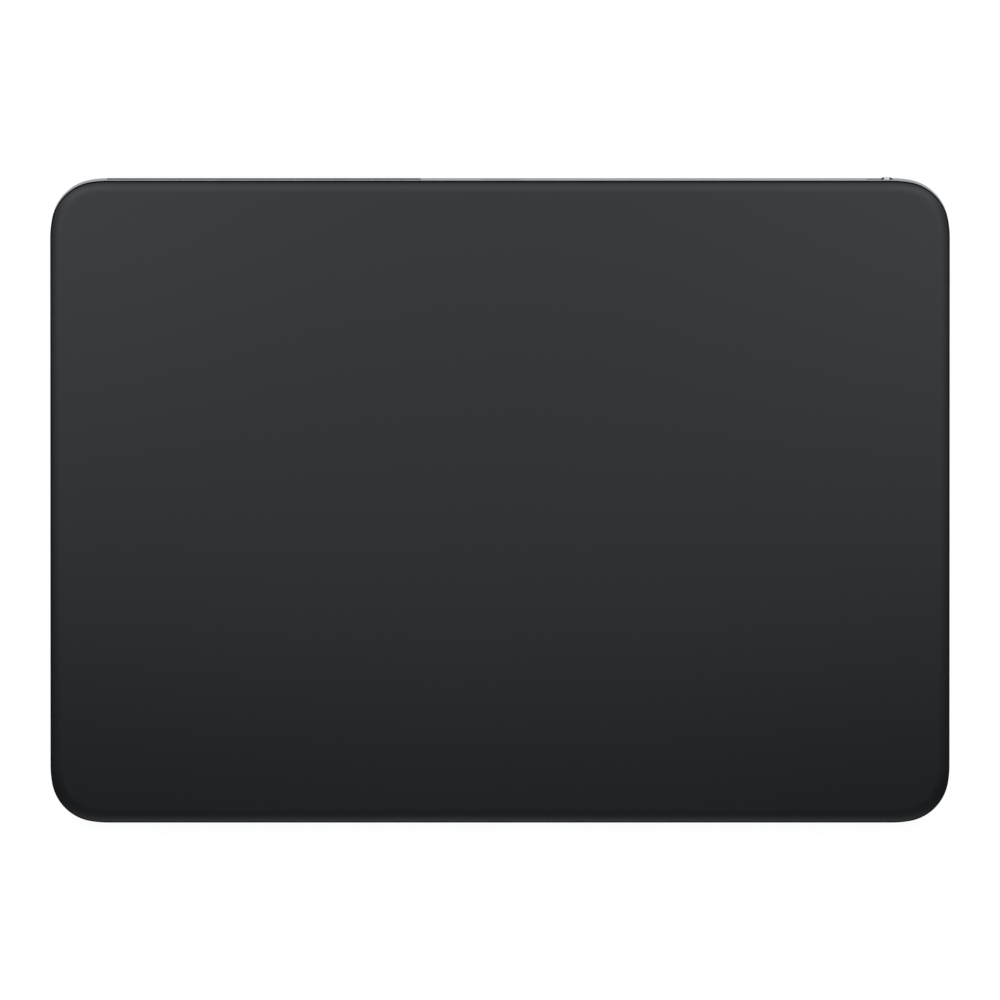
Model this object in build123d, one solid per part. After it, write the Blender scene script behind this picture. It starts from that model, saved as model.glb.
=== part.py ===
"""Desk trackpad with a sloping black glass top on a silver aluminium body.

The glass, its touch sensor and a stiff plate float on four steel beams, which measure the press.
A magnet coil bar pulls the plate a hair to and fro, so that a press feels like a click.
The desk frame has +X to the right, +Y to the rear and +Z up, with the origin on the desk
under the middle of the body. The slope frame lies in the top of the glass, with its own +Y up
the slope and +Z out of the glass, so a depth under the glass is a negative Z there.
All sizes are in millimetres and all angles in degrees.
"""

from build123d import *
import os
from math import asin, cos, degrees, radians, sin, tan

# Overrun of every cut past the face that it opens
cut_overrun = 1.0

# Body, with its length taken along the slope
body_width = 160.0
body_length = 114.4
front_height = 4.9
rear_height = 11.0
corner_end_radius = 18.0
corner_middle_radius = 8.4
corner_blend_angle = 10.0

# Travel of the moving pieces
press_travel = 0.15
haptic_travel = 0.1
switch_travel = 2.4
press_reserve = 0.1
haptic_reserve = 0.25

# Touch glass and what is bonded under it
glass_thickness = 1.1
glass_roll_radius = 7.0
glass_roll_angle = 18.0
glass_nose_radius = 0.3
glass_bond_thickness = 0.1
glass_bond_margin = 0.4
sensor_thickness = 0.5
stiffener_thickness = 0.6
stack_side_reserve = 0.4

# Gap line between the glass and the frame, with its dust gasket
gasket_thickness = 0.2
gasket_width = 0.7
gasket_inset = 0.45

# Housing frame
wall_thickness = 1.5
bottom_edge_radius = 0.8
top_edge_chamfer = 0.15
socket_mouth_chamfer = 0.15
ledge_width = 1.4
ledge_thickness = 0.6

# Base plate and the adhesive that holds it under the ledge
base_recess = 0.1
base_thickness = 0.7
base_side_clearance = 0.1
base_bond_thickness = 0.1
base_bond_margin = 0.2

# Rubber feet
foot_height = 0.6
foot_length = 18.0
foot_width = 5.0
foot_recess = 0.3
foot_edge_radius = 0.25
foot_fit = 0.05
foot_side_distance = 24.0
foot_end_distance = 12.0

# Screws, by the part of the body that they hold
screw_fit = 0.02
screw_play = 0.15
board_screw_radius = 0.5
board_screw_head_radius = 1.0
board_screw_head_height = 0.4
plate_screw_radius = 0.6
plate_screw_head_radius = 1.15
plate_screw_head_height = 0.4
driver_recess_radius = 0.4
driver_recess_depth = 0.2

# Antenna window in the rear wall
window_side_distance = 10.1
window_middle_distance = 14.0
window_top_lip = 1.6
window_corner_radius = 1.0
window_fit = 0.03

# Antenna behind its window
carrier_gap = 0.2
carrier_thickness = 1.1
carrier_end_margin = 3.5
carrier_top_distance = 1.2
antenna_thickness = 0.2
antenna_margin = 0.8
coax_radius = 0.35
coax_plug_radius = 1.0
coax_plug_height = 0.8
coax_plug_distance = 0.8
coax_edge_distance = 0.6
coax_run = 6.0
coax_bend_radius = 1.4

# Logic board behind the rear wall
board_thickness = 0.8
board_lift = 1.2
board_left_distance = 34.0
board_right_distance = 6.0
board_rear_distance = 3.2
board_width = 9.4
board_corner_radius = 1.0
board_boss_radius = 1.5
board_boss_edge_distance = 1.9
board_boss_shares = (0.03, 0.30, 0.62, 0.93)
board_screw_blind = 1.0

# Chips and connectors on the logic board
main_chip_size = 7.0
main_chip_height = 0.9
main_chip_share = 0.70
radio_length = 10.0
radio_width = 5.6
radio_height = 1.4
radio_share = 0.10
radio_offset = 1.6
radio_edge_radius = 0.3
power_chip_size = 3.6
power_chip_height = 0.8
power_chip_shares = (0.78, 0.82)
passive_length = 1.0
passive_width = 0.5
passive_height = 0.5
passive_count = 9
passive_first_share = 0.33
passive_last_share = 0.42
passive_rows = 2
passive_row_pitch = 1.5
connector_width = 2.6
connector_height = 1.0
connector_edge_distance = 1.7

# Socket in the rear wall, with a standard opening
socket_width = 8.34
socket_height = 2.56
socket_depth = 6.2
socket_wall = 0.3
socket_hole_play = 0.06
socket_wall_gap = 0.1
tongue_width = 6.69
tongue_thickness = 0.7
tongue_setback = 1.0
tongue_base_depth = 1.6
contact_count = 12
contact_pitch = 0.5
contact_width = 0.28
contact_thickness = 0.05
contact_length = 2.7
contact_setback = 0.5
strap_thickness = 0.3
strap_depth = 3.0
strap_ear = 3.0
strap_gap = 0.05
strap_rear_distance = 0.6

# Power switch in the rear wall
switch_end_distance = 10.2
knob_width = 2.0
knob_height = 2.3
knob_proud = 0.45
knob_crown = 0.3
knob_edge_radius = 0.2
knob_depth = 1.0
knob_play = 0.1
knob_neck_size = 1.0
slot_corner_radius = 0.5
switch_length = 8.2
switch_depth = 3.2
switch_height = 3.4
switch_wall = 0.5
switch_wall_gap = 0.3
slider_length = 2.2
slider_play = 0.15
terminal_count = 3
terminal_pitch = 2.4
terminal_width = 0.6
terminal_length = 1.0
terminal_thickness = 0.2

# Battery between the board and the haptic bar
battery_side_distance = 25.0
battery_width = 29.0
battery_height = 4.5
battery_edge_radius = 1.6
battery_board_distance = 0.9
battery_bond_thickness = 0.15
battery_bond_length = 34.0
battery_bond_margin = 3.0
cell_board_length = 24.0
cell_board_depth = 0.6
cell_board_height = 3.0
cell_board_gap = 0.05
battery_flex_width = 8.0
battery_flex_share = 0.52
flex_thickness = 0.15
flex_gap = 0.05

# Haptic bar in front of the battery
haptic_battery_gap = 7.3
core_length = 58.0
core_spine = 3.0
core_pole_length = 6.0
core_pole_width = 6.0
core_thickness = 1.7
pole_count = 4
coil_wall = 0.55
coil_gap = 0.1
coil_end_gap = 0.4
haptic_bracket_thickness = 0.8
haptic_bracket_ear = 6.0
haptic_ear_gap = 1.0
haptic_bracket_width = 7.0
haptic_screw_blind = 0.5
haptic_screw_edge = 1.7
haptic_flex_width = 3.6
haptic_flex_corridor = 0.8
haptic_flex_lead = 12.0
haptic_flex_gap = 0.5

# Attraction plate under the glass, in front of the poles
armature_thickness = 1.2
armature_overhang = 1.0
armature_flange_width = 6.0
armature_flange_thickness = 0.5
armature_floor_clearance = 0.6
armature_screw_shares = (-0.42, 0.0, 0.42)

# Force beams at the four corners
beam_side_distance = 12.0
beam_front_distance = 7.0
beam_rear_distance = 15.0
beam_length = 22.0
beam_width = 8.0
beam_thickness = 0.5
beam_seat_length = 6.0
beam_waist_length = 6.0
beam_waist_width = 4.4
beam_waist_radius = 1.2
gel_thickness = 0.4
gel_margin = 0.4
spacer_length = 6.5
beam_screw_spacing = 4.6
gauge_length = 3.6
gauge_width = 2.4
gauge_thickness = 0.06
seat_margin = 0.5

# Touch controller chips, standing in windows of the stiff plate
touch_chip_size = 6.0
touch_chip_height = 0.9
touch_chip_play = 0.8
touch_chip_gap = 9.0
touch_chip_spacing = 34.0
touch_chip_columns = 3

# Flat cable from the touch sensor to the logic board
sensor_flex_width = 8.0
sensor_flex_share = 0.21
sensor_flex_tab = 2.2
sensor_flex_edge_distance = 1.0
sensor_flex_bend = 0.9
sensor_flex_end_gap = 0.25
notch_play = 1.0

# Slope of the top, and the two frames
tilt = degrees(asin((rear_height - front_height) / body_length))
top_rise = tan(radians(tilt))
plate_height = (front_height + rear_height) / 2
plate_shift = -(rear_height - foot_height) * top_rise / 2
slope = Plane(
    origin=(0, plate_shift, plate_height),
    x_dir=(1, 0, 0),
    z_dir=(0, -sin(radians(tilt)), cos(radians(tilt))),
).location

# Gaps that leave room for the travel
rim_gap = gasket_thickness + press_travel + press_reserve
beam_gap = gauge_thickness + press_travel + press_reserve
pole_gap = haptic_travel + haptic_reserve

# Depths under the top of the glass
sensor_depth = glass_thickness + glass_bond_thickness
stiffener_depth = sensor_depth + sensor_thickness
stack_depth = stiffener_depth + stiffener_thickness
frame_depth = glass_thickness + rim_gap
wall_foot_depth = (rear_height - foot_height) / cos(radians(tilt)) + cut_overrun
beam_depth = stack_depth + beam_gap
gel_depth = beam_depth + beam_thickness
seat_depth = gel_depth + gel_thickness

# Heights above the desk
base_low = foot_height + base_recess
base_top = base_low + base_thickness
ledge_low = base_top + base_bond_thickness
ledge_top = ledge_low + ledge_thickness
board_low = base_top + board_lift
board_top = board_low + board_thickness
core_middle = base_top + haptic_bracket_thickness + core_thickness / 2
socket_middle = board_top + socket_wall + socket_height / 2
switch_middle = board_top + switch_height / 2

# Insets from the outer outline
base_inset = wall_thickness + base_side_clearance
ledge_inset = wall_thickness + ledge_width
stack_inset = wall_thickness + haptic_travel + stack_side_reserve

# Places on the desk
half_width = body_width / 2
half_length = body_length / 2
rear_line = plate_shift + half_length * cos(radians(tilt))
board_x = (board_left_distance - half_width, half_width - board_right_distance)
board_y = (rear_line - board_rear_distance - board_width, rear_line - board_rear_distance)
board_length = board_x[1] - board_x[0]
connector_y = board_y[0] + connector_edge_distance
beam_x = half_width - beam_side_distance - beam_width / 2
switch_x = half_width - switch_end_distance - knob_width / 2
window_length = half_width - window_side_distance - window_middle_distance
battery_length = body_width - 2 * battery_side_distance
armature_length = core_length + 2 * armature_overhang
haptic_flex_x = battery_length / 2 + haptic_flex_corridor + haptic_flex_width / 2


def span(middle, size):
    """A pair of limits, set evenly about a middle."""
    return (middle - size / 2, middle + size / 2)


def block(x, y, z):
    """A box between three pairs of limits."""
    size = [limits[1] - limits[0] for limits in (x, y, z)]
    middle = [(limits[0] + limits[1]) / 2 for limits in (x, y, z)]
    return Pos(*middle) * Box(*size)


def rod(x, y, z, radius):
    """An upright cylinder between a pair of heights."""
    return Pos(x, y, (z[0] + z[1]) / 2) * Cylinder(radius, z[1] - z[0])


def rounded_block(x, y, z, radius):
    """A box between three pairs of limits, with its upright edges rounded."""
    return fillet(block(x, y, z).edges().filter_by(Axis.Z), radius)


def group(solids):
    """Separate solids that share one node."""
    return Compound(children=[solid for shape in solids for solid in shape.solids()])


def board_place(share):
    """The X of a place on the logic board, as a share of its length from the left."""
    return board_x[0] + board_length * share


def top_height(y):
    """The height of the glass plane over a desk Y."""
    return plate_height + (y - plate_shift) * top_rise


def slope_y(y, z):
    """The slope frame's Y of a point that is given by its desk Y and Z."""
    return (y - plate_shift) * cos(radians(tilt)) + (z - plate_height) * sin(radians(tilt))


def slope_depth(y, z):
    """The depth under the glass top of a point that is given by its desk Y and Z."""
    return (top_height(y) - z) * cos(radians(tilt))


def wall_face_y(z, depth_in):
    """The desk Y of the rear wall at a height, as far under its outer face as depth_in."""
    face = rear_line + (rear_height - z) * top_rise
    return face - depth_in / cos(radians(tilt))


# Places that follow the leaning rear wall
battery_rear = board_y[0] - battery_board_distance - cell_board_depth - cell_board_gap
battery_y = (battery_rear - battery_width, battery_rear)
core_rear = battery_y[0] - haptic_battery_gap
haptic_front = core_rear - core_spine - core_pole_length
socket_front = wall_face_y(socket_middle + socket_height / 2 + socket_wall, wall_thickness) - socket_wall_gap
strap_y = (board_y[1] - strap_rear_distance - strap_depth, board_y[1] - strap_rear_distance)
switch_rear = wall_face_y(board_top + switch_height, wall_thickness) - switch_wall_gap
switch_y = (switch_rear - switch_depth, switch_rear)
knob_depth_middle = slope_depth(wall_face_y(switch_middle, 0), switch_middle)


def outline(inset):
    """The body's outline drawn in by inset. Each corner is three arcs, the middle one tighter."""
    blend = radians(corner_blend_angle)
    radius_step = corner_end_radius - corner_middle_radius
    corner_reach = corner_end_radius - radius_step * (cos(blend) - sin(blend))
    flat_x = half_width - corner_reach
    flat_y = half_length - corner_reach
    side_x = half_width - inset
    side_y = half_length - inset
    middle_angle = 90 - 2 * corner_blend_angle
    arcs = (
        (corner_end_radius - inset, corner_blend_angle),
        (corner_middle_radius - inset, middle_angle),
        (corner_end_radius - inset, corner_blend_angle),
    )
    starts = ((flat_x, -side_y), (side_x, flat_y), (-flat_x, side_y), (-side_x, -flat_y))
    headings = ((1, 0), (0, 1), (-1, 0), (0, -1))
    edges = []
    for corner in range(len(starts)):
        point, heading = starts[corner], headings[corner]
        for radius, angle in arcs:
            arc = JernArc(point, heading, radius, angle)
            edges.append(arc)
            point, heading = arc @ 1, arc % 1
        edges.append(Line(point, starts[(corner + 1) % len(starts)]))
    return make_face(Wire(edges))


def slab(inset, top, bottom):
    """A slab of the outline in the slope frame, between two depths under the glass top."""
    return Pos(0, 0, -bottom) * extrude(outline(inset), bottom - top)


def ring(inset, width, top, bottom):
    """A ring along the outline in the slope frame, between two depths."""
    return slab(inset, top, bottom) - slab(inset + width, top - cut_overrun, bottom + cut_overrun)


def layer(low, high):
    """All of the desk frame between two heights, to cut other shapes to."""
    return block(span(0, 2 * body_width), span(0, 2 * body_length), (low, high))


def screw(x, y, seat, length, radius, head_radius, head_height):
    """A screw whose head stands on the height seat, with a round driver recess."""
    head = rod(x, y, (seat, seat + head_height), head_radius)
    head -= rod(x, y, (seat + head_height - driver_recess_depth, seat + head_height + cut_overrun),
                driver_recess_radius)
    return head + rod(x, y, (seat - length, seat + head_height / 2), radius)


def glass_edge_cutter():
    """The ring that is cut from the glass's upper edge: a wide soft roll into a small nose."""
    angle = radians(glass_roll_angle)
    roll_reach = glass_roll_radius * sin(angle)
    roll_drop = glass_roll_radius * (1 - cos(angle))
    reach = roll_reach + glass_nose_radius * (1 - sin(angle))
    drop = roll_drop + glass_nose_radius * cos(angle)
    path = outline(0).wire()
    start, heading = path @ 0, path % 0
    section_plane = Plane(origin=start, x_dir=heading.cross(Vector(0, 0, 1)), z_dir=heading)
    meeting = (roll_reach - reach, roll_drop)
    section = make_face([
        RadiusArc((-reach, 0), meeting, glass_roll_radius),
        RadiusArc(meeting, (0, drop), glass_nose_radius),
        Polyline((0, drop), (cut_overrun, drop), (cut_overrun, -cut_overrun), (-reach, -cut_overrun),
                 (-reach, 0)),
    ])
    return sweep(section_plane * section, path)


def make_touch_glass():
    """The black glass plate with its rolled edge."""
    return slope * (slab(0, 0, glass_thickness) - glass_edge_cutter())


def touch_chip_places():
    """The slope frame places of the touch controller chips, in a row before the attraction plate."""
    row = armature_rear() - armature_flange_width - touch_chip_gap - touch_chip_size / 2
    first = -touch_chip_spacing * (touch_chip_columns - 1) / 2
    return [(first + touch_chip_spacing * column, row) for column in range(touch_chip_columns)]


def make_touch_chips():
    """The touch controller chips under the sensor board."""
    return group([
        slope * block(span(x, touch_chip_size), span(y, touch_chip_size),
                      (-stiffener_depth - touch_chip_height, -stiffener_depth))
        for x, y in touch_chip_places()
    ])


def armature_rear():
    """The slope frame's Y of the attraction plate's face that the poles look at."""
    return slope_y(haptic_front - pole_gap, core_middle)


def armature_screw_places():
    """The slope frame places of the screws that hold the attraction plate."""
    y = armature_rear() - (armature_flange_width + armature_thickness) / 2
    return [(armature_length * share, y) for share in armature_screw_shares]


def beam_ends():
    """Each force beam's name, middle X, outer end's slope Y and the way it points outward."""
    front = beam_front_distance - half_length
    rear = half_length - beam_rear_distance
    return [
        ("front_left", -beam_x, front, -1),
        ("front_right", beam_x, front, -1),
        ("rear_left", -beam_x, rear, 1),
        ("rear_right", beam_x, rear, 1),
    ]


def from_end(end, outward, start, length):
    """The limits of a stretch of a beam, counted inward from an end."""
    return tuple(sorted((end - outward * start, end - outward * (start + length))))


def beam_screw_places():
    """The slope frame places of the screws that hold the beams to the stiff plate."""
    places = []
    for _, x, end, outward in beam_ends():
        y = end - outward * (beam_length - spacer_length / 2)
        places += [(x - beam_screw_spacing / 2, y), (x + beam_screw_spacing / 2, y)]
    return places


def make_plate_stiffener():
    """The stiff plate under the sensor board, with chip windows, a cable notch and threads."""
    plate = slab(stack_inset, stiffener_depth, stack_depth)
    through = (-stack_depth - cut_overrun, -stiffener_depth + cut_overrun)
    window = touch_chip_size + 2 * touch_chip_play
    for x, y in touch_chip_places():
        plate -= block(span(x, window), span(y, window), through)
    notch_x = span(board_place(sensor_flex_share), sensor_flex_width + 2 * notch_play)
    plate -= block(notch_x, (sensor_flex_ends()[1] - notch_play, half_length), through)
    for x, y in beam_screw_places() + armature_screw_places():
        plate -= rod(x, y, through, plate_screw_radius + screw_fit)
    return slope * plate


def sensor_flex_ends():
    """The slope Y of the flat cable's rear end on the sensor board, and of its drop."""
    rear = half_length - stack_inset - sensor_flex_edge_distance
    return rear, rear - sensor_flex_tab - sensor_flex_bend


def make_sensor_flex():
    """The flat cable, bonded under the sensor board and folded down onto its connector."""
    rear, drop = sensor_flex_ends()
    top = -stiffener_depth - flex_thickness / 2
    low = -slope_depth(connector_y, board_top + connector_height + sensor_flex_end_gap)
    front = slope_y(connector_y, board_top) - connector_width / 2
    path = Plane.YZ * FilletPolyline((rear, top), (drop, top), (drop, low), (front, low),
                                     radius=sensor_flex_bend)
    path = Pos(board_place(sensor_flex_share), 0, 0) * path
    section = Plane(origin=path @ 0, x_dir=(1, 0, 0), z_dir=path % 0) * Rectangle(
        sensor_flex_width, flex_thickness)
    return slope * sweep(section, path)


def under_screws(places, depth, length):
    """Screws that point up into the stiff plate, with their heads at a depth under the glass."""
    one = Rot(180, 0, 0) * screw(0, 0, 0, length, plate_screw_radius, plate_screw_head_radius,
                                 plate_screw_head_height)
    return group([slope * Pos(x, y, -depth) * one for x, y in places])


def make_attraction_plate():
    """The steel angle under the stiff plate that the magnet poles pull at."""
    rear = armature_rear()
    flange_depth = stack_depth + armature_flange_thickness
    length = span(0, armature_length)
    plate = block(length, (rear - armature_flange_width, rear), (-flange_depth, -stack_depth))
    plate += block(length, (rear - armature_thickness, rear), (-rear_height, -stack_depth))
    for x, y in armature_screw_places():
        plate -= rod(x, y, (-flange_depth - cut_overrun, -stack_depth + cut_overrun),
                     plate_screw_radius + screw_play)
    return slope * plate & layer(base_top + armature_floor_clearance, rear_height)


def make_touch_plate():
    """All that moves with the glass."""
    beam_foot = (-gel_depth - cut_overrun, -stack_depth + cut_overrun)
    spacers = []
    for _, x, end, outward in beam_ends():
        spacer_y = from_end(end, outward, beam_length - spacer_length, spacer_length)
        spacer = block(span(x, beam_width), spacer_y, (-beam_depth, -stack_depth))
        for screw_x, screw_y in beam_screw_places():
            spacer -= rod(screw_x, screw_y, beam_foot, plate_screw_radius + screw_play)
        spacers.append(slope * spacer)
    return {
        "touch_glass": make_touch_glass(),
        "edge_gasket": slope * ring(gasket_inset, gasket_width, glass_thickness,
                                    glass_thickness + gasket_thickness),
        "glass_adhesive": slope * slab(stack_inset + glass_bond_margin, glass_thickness, sensor_depth),
        "sensor_board": slope * slab(stack_inset, sensor_depth, stiffener_depth),
        "touch_chips": make_touch_chips(),
        "plate_stiffener": make_plate_stiffener(),
        "sensor_flex": make_sensor_flex(),
        "attraction_plate": make_attraction_plate(),
        "attraction_screws": under_screws(
            armature_screw_places(), stack_depth + armature_flange_thickness,
            armature_flange_thickness + stiffener_thickness),
        "beam_spacers": group(spacers),
        "beam_screws": under_screws(beam_screw_places(), gel_depth,
                                    gel_depth - stiffener_depth),
    }


def make_force_beam(x, end, outward):
    """One steel force beam, waisted where its gauge sits, with two screw holes at its inner end."""
    flat = (-gel_depth, -beam_depth)
    through = (-gel_depth - cut_overrun, -beam_depth + cut_overrun)
    beam = block(span(x, beam_width), from_end(end, outward, 0, beam_length), flat)
    waist_start = (beam_length - beam_waist_length) / 2
    waist = from_end(end, outward, waist_start, beam_waist_length)
    for side in (-1, 1):
        edge = x + side * beam_width
        notch = block(tuple(sorted((x + side * beam_waist_width / 2, edge))), waist, through)
        middle = (x, sum(waist) / 2, -beam_depth)
        inner_edges = notch.edges().filter_by(Axis.Z).sort_by_distance(middle)[:2]
        beam -= fillet(inner_edges, beam_waist_radius)
    for screw_x, screw_y in beam_screw_places():
        beam -= rod(screw_x, screw_y, through, plate_screw_radius + screw_play)
    return slope * beam


def make_force_carrier():
    """The force beams and their gauges, which shift with the plate but don't sink with it."""
    pieces = {}
    gauges = []
    for name, x, end, outward in beam_ends():
        pieces["force_beam_" + name] = make_force_beam(x, end, outward)
        middle = end - outward * beam_length / 2
        gauges.append(slope * block(span(x, gauge_width), span(middle, gauge_length),
                                    (-beam_depth, gauge_thickness - beam_depth)))
    pieces["strain_gauges"] = group(gauges)
    return pieces


def make_gel_pads():
    """The soft pads between the beams' outer ends and their seats on the base plate."""
    width = beam_width - 2 * gel_margin
    length = beam_seat_length - 2 * gel_margin
    return group([
        slope * block(span(x, width), from_end(end, outward, gel_margin, length), (-seat_depth, -gel_depth))
        for _, x, end, outward in beam_ends()
    ])


def window_cutter(play):
    """The antenna window's space in the rear wall, open at the bottom, drawn in by a play."""
    left = window_side_distance - half_width
    space = block((left + play, left + window_length - play),
                  (half_length - wall_thickness, half_length + cut_overrun),
                  (-wall_foot_depth - cut_overrun, -frame_depth - window_top_lip - play))
    top_edges = space.edges().filter_by(Axis.Y).sort_by(Axis.Z)[-2:]
    return fillet(top_edges, window_corner_radius - play)


def make_wall():
    """The body's perimeter wall, before its openings are cut."""
    body = (slope * slab(0, frame_depth, wall_foot_depth)) & layer(foot_height, rear_height)
    body = fillet(body.faces().sort_by(Axis.Z)[0].outer_wire().edges(), bottom_edge_radius)
    body = chamfer(body.faces().sort_by(Axis.Z)[-1].outer_wire().edges(), top_edge_chamfer)
    return body - slope * slab(wall_thickness, 0, wall_foot_depth + cut_overrun)


def socket_bar(width, height, y):
    """A bar of the socket's pill-shaped section, between two desk Ys."""
    plane = Plane(origin=(0, y[1], socket_middle), x_dir=(1, 0, 0), z_dir=(0, -1, 0))
    return extrude(plane * SlotOverall(width, height), y[1] - y[0])


def make_switch_slot():
    """The slot in the rear wall that the switch knob slides in."""
    left = switch_x - knob_width / 2 - switch_travel - knob_play
    right = switch_x + knob_width / 2 + knob_play
    slot = block((left, right), (half_length - wall_thickness - cut_overrun, half_length + cut_overrun),
                 span(-knob_depth_middle, knob_height + 2 * knob_play))
    return slope * fillet(slot.edges().filter_by(Axis.Y), slot_corner_radius)


def make_housing_frame():
    """The aluminium wall with its inner ledge, antenna gap, socket hole and switch slot."""
    ledge = slope * (slab(wall_thickness - base_side_clearance, frame_depth, wall_foot_depth)
                     - slab(ledge_inset, 0, wall_foot_depth + cut_overrun))
    frame = make_wall() + (ledge & layer(ledge_low, ledge_top))
    frame -= slope * window_cutter(0)
    hole = 2 * socket_hole_play
    frame -= socket_bar(socket_width + hole, socket_height + hole, (board_y[1], rear_line + body_width))
    mouth = (frame.edges().filter_by_position(Axis.X, -socket_width, socket_width)
             .filter_by_position(Axis.Y, wall_face_y(socket_middle, wall_thickness / 2), body_width)
             .filter_by_position(Axis.Z, *span(socket_middle, 2 * socket_height)))
    return chamfer(mouth, socket_mouth_chamfer) - make_switch_slot()


def board_boss_places():
    """The places of the bosses that carry the logic board."""
    y = board_y[0] + board_boss_edge_distance
    return [(board_place(share), y) for share in board_boss_shares]


def strap_screw_places():
    """The places of the two screws beside the socket."""
    x = socket_width / 2 + socket_wall + strap_gap + strap_thickness + strap_ear / 2
    return [(-x, sum(strap_y) / 2), (x, sum(strap_y) / 2)]


def haptic_screw_places():
    """The places of the screws that hold the haptic bar's bracket."""
    x = core_length / 2 + haptic_ear_gap + haptic_bracket_ear / 2
    y = core_rear - haptic_bracket_width / 2
    reach = haptic_bracket_width / 2 - haptic_screw_edge
    return [(side * x, y + row * reach) for side in (-1, 1) for row in (-1, 1)]


def foot_places():
    """Each foot's name and middle."""
    x = half_width - foot_side_distance
    front = plate_shift - half_length * cos(radians(tilt)) + foot_end_distance
    rear = rear_line - foot_end_distance
    return {
        "foot_front_left": (-x, front),
        "foot_front_right": (x, front),
        "foot_rear_left": (-x, rear),
        "foot_rear_right": (x, rear),
    }


def foot_pill(x, y, z, play):
    """A foot's pill shape between two heights, grown by a play."""
    pill = SlotOverall(foot_length + 2 * play, foot_width + 2 * play)
    return Pos(x, y, z[0]) * extrude(pill, z[1] - z[0])


def make_feet():
    """The rubber feet, let into the base plate."""
    feet = {}
    for name, (x, y) in foot_places().items():
        foot = foot_pill(x, y, (0, base_low + foot_recess), 0)
        feet[name] = fillet(foot.faces().sort_by(Axis.Z)[0].edges(), foot_edge_radius)
    return feet


def make_base_plate():
    """The base plate with the seats and bosses that carry what is inside."""
    plate = slope * slab(base_inset, 0, wall_foot_depth + cut_overrun) & layer(base_low, base_top)
    root = base_low + base_thickness / 2
    for _, x, end, outward in beam_ends():
        seat_y = from_end(end, outward, -seat_margin, beam_seat_length + seat_margin)
        seat = block(span(x, beam_width), seat_y, (-wall_foot_depth, -seat_depth))
        plate += slope * seat & layer(root, rear_height)
    for x, y in board_boss_places() + strap_screw_places():
        plate += rod(x, y, (root, board_low), board_boss_radius)
        plate -= rod(x, y, (board_low - board_screw_blind, board_low + cut_overrun),
                     board_screw_radius + screw_fit)
    for x, y in haptic_screw_places():
        plate -= rod(x, y, (base_top - haptic_screw_blind, base_top + cut_overrun),
                     board_screw_radius + screw_fit)
    for x, y in foot_places().values():
        plate -= foot_pill(x, y, (base_low - cut_overrun, base_low + foot_recess), foot_fit)
    return plate


def make_base_adhesive():
    """The ring of adhesive between the base plate and the ledge."""
    inset = base_inset + base_bond_margin
    width = ledge_inset - base_bond_margin - inset
    return slope * ring(inset, width, 0, wall_foot_depth) & layer(base_top, ledge_low)


def carrier_strip(start, thickness, margin, low):
    """An upright strip behind the antenna window, from a distance inside the wall's inner face."""
    left = window_side_distance - half_width
    outer = half_length - wall_thickness - start
    strip = block((left + margin, left + window_length - margin), (outer - thickness, outer),
                  (-wall_foot_depth, -stack_depth - carrier_top_distance))
    return slope * strip & layer(low, rear_height)


def make_antenna_cable():
    """The thin coaxial cable from its plug on the board to the antenna's carrier."""
    plug_x = board_place(radio_share) + radio_length / 2 + coax_plug_radius + coax_plug_distance
    plug_y = board_y[1] - coax_plug_radius - coax_edge_distance
    height = board_top + coax_plug_height / 2
    turn_x = plug_x + coax_run
    carrier_depth = carrier_gap + antenna_thickness + carrier_thickness
    carrier_front = wall_face_y(height, wall_thickness + carrier_depth)
    path = FilletPolyline((plug_x, plug_y, height), (turn_x, plug_y, height), (turn_x, carrier_front, height),
                          radius=coax_bend_radius)
    cable = sweep(Plane(origin=path @ 0, z_dir=path % 0) * Circle(coax_radius), path)
    return cable + rod(plug_x, plug_y, (board_top, board_top + coax_plug_height), coax_plug_radius)


def make_antenna():
    """The window in the rear wall and the antenna behind it."""
    return {
        "antenna_window": make_wall() & slope * window_cutter(window_fit),
        "antenna_carrier": carrier_strip(carrier_gap + antenna_thickness, carrier_thickness,
                                         carrier_end_margin, ledge_top),
        "antenna_strip": carrier_strip(carrier_gap, antenna_thickness, carrier_end_margin + antenna_margin,
                                       ledge_top + antenna_margin),
        "antenna_cable": make_antenna_cable(),
    }


def make_logic_board():
    """The logic board with its screw holes."""
    board = rounded_block(board_x, board_y, (board_low, board_top), board_corner_radius)
    through = (board_low - cut_overrun, board_top + cut_overrun)
    for x, y in board_boss_places() + strap_screw_places():
        board -= rod(x, y, through, board_screw_radius + screw_play)
    return board


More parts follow.
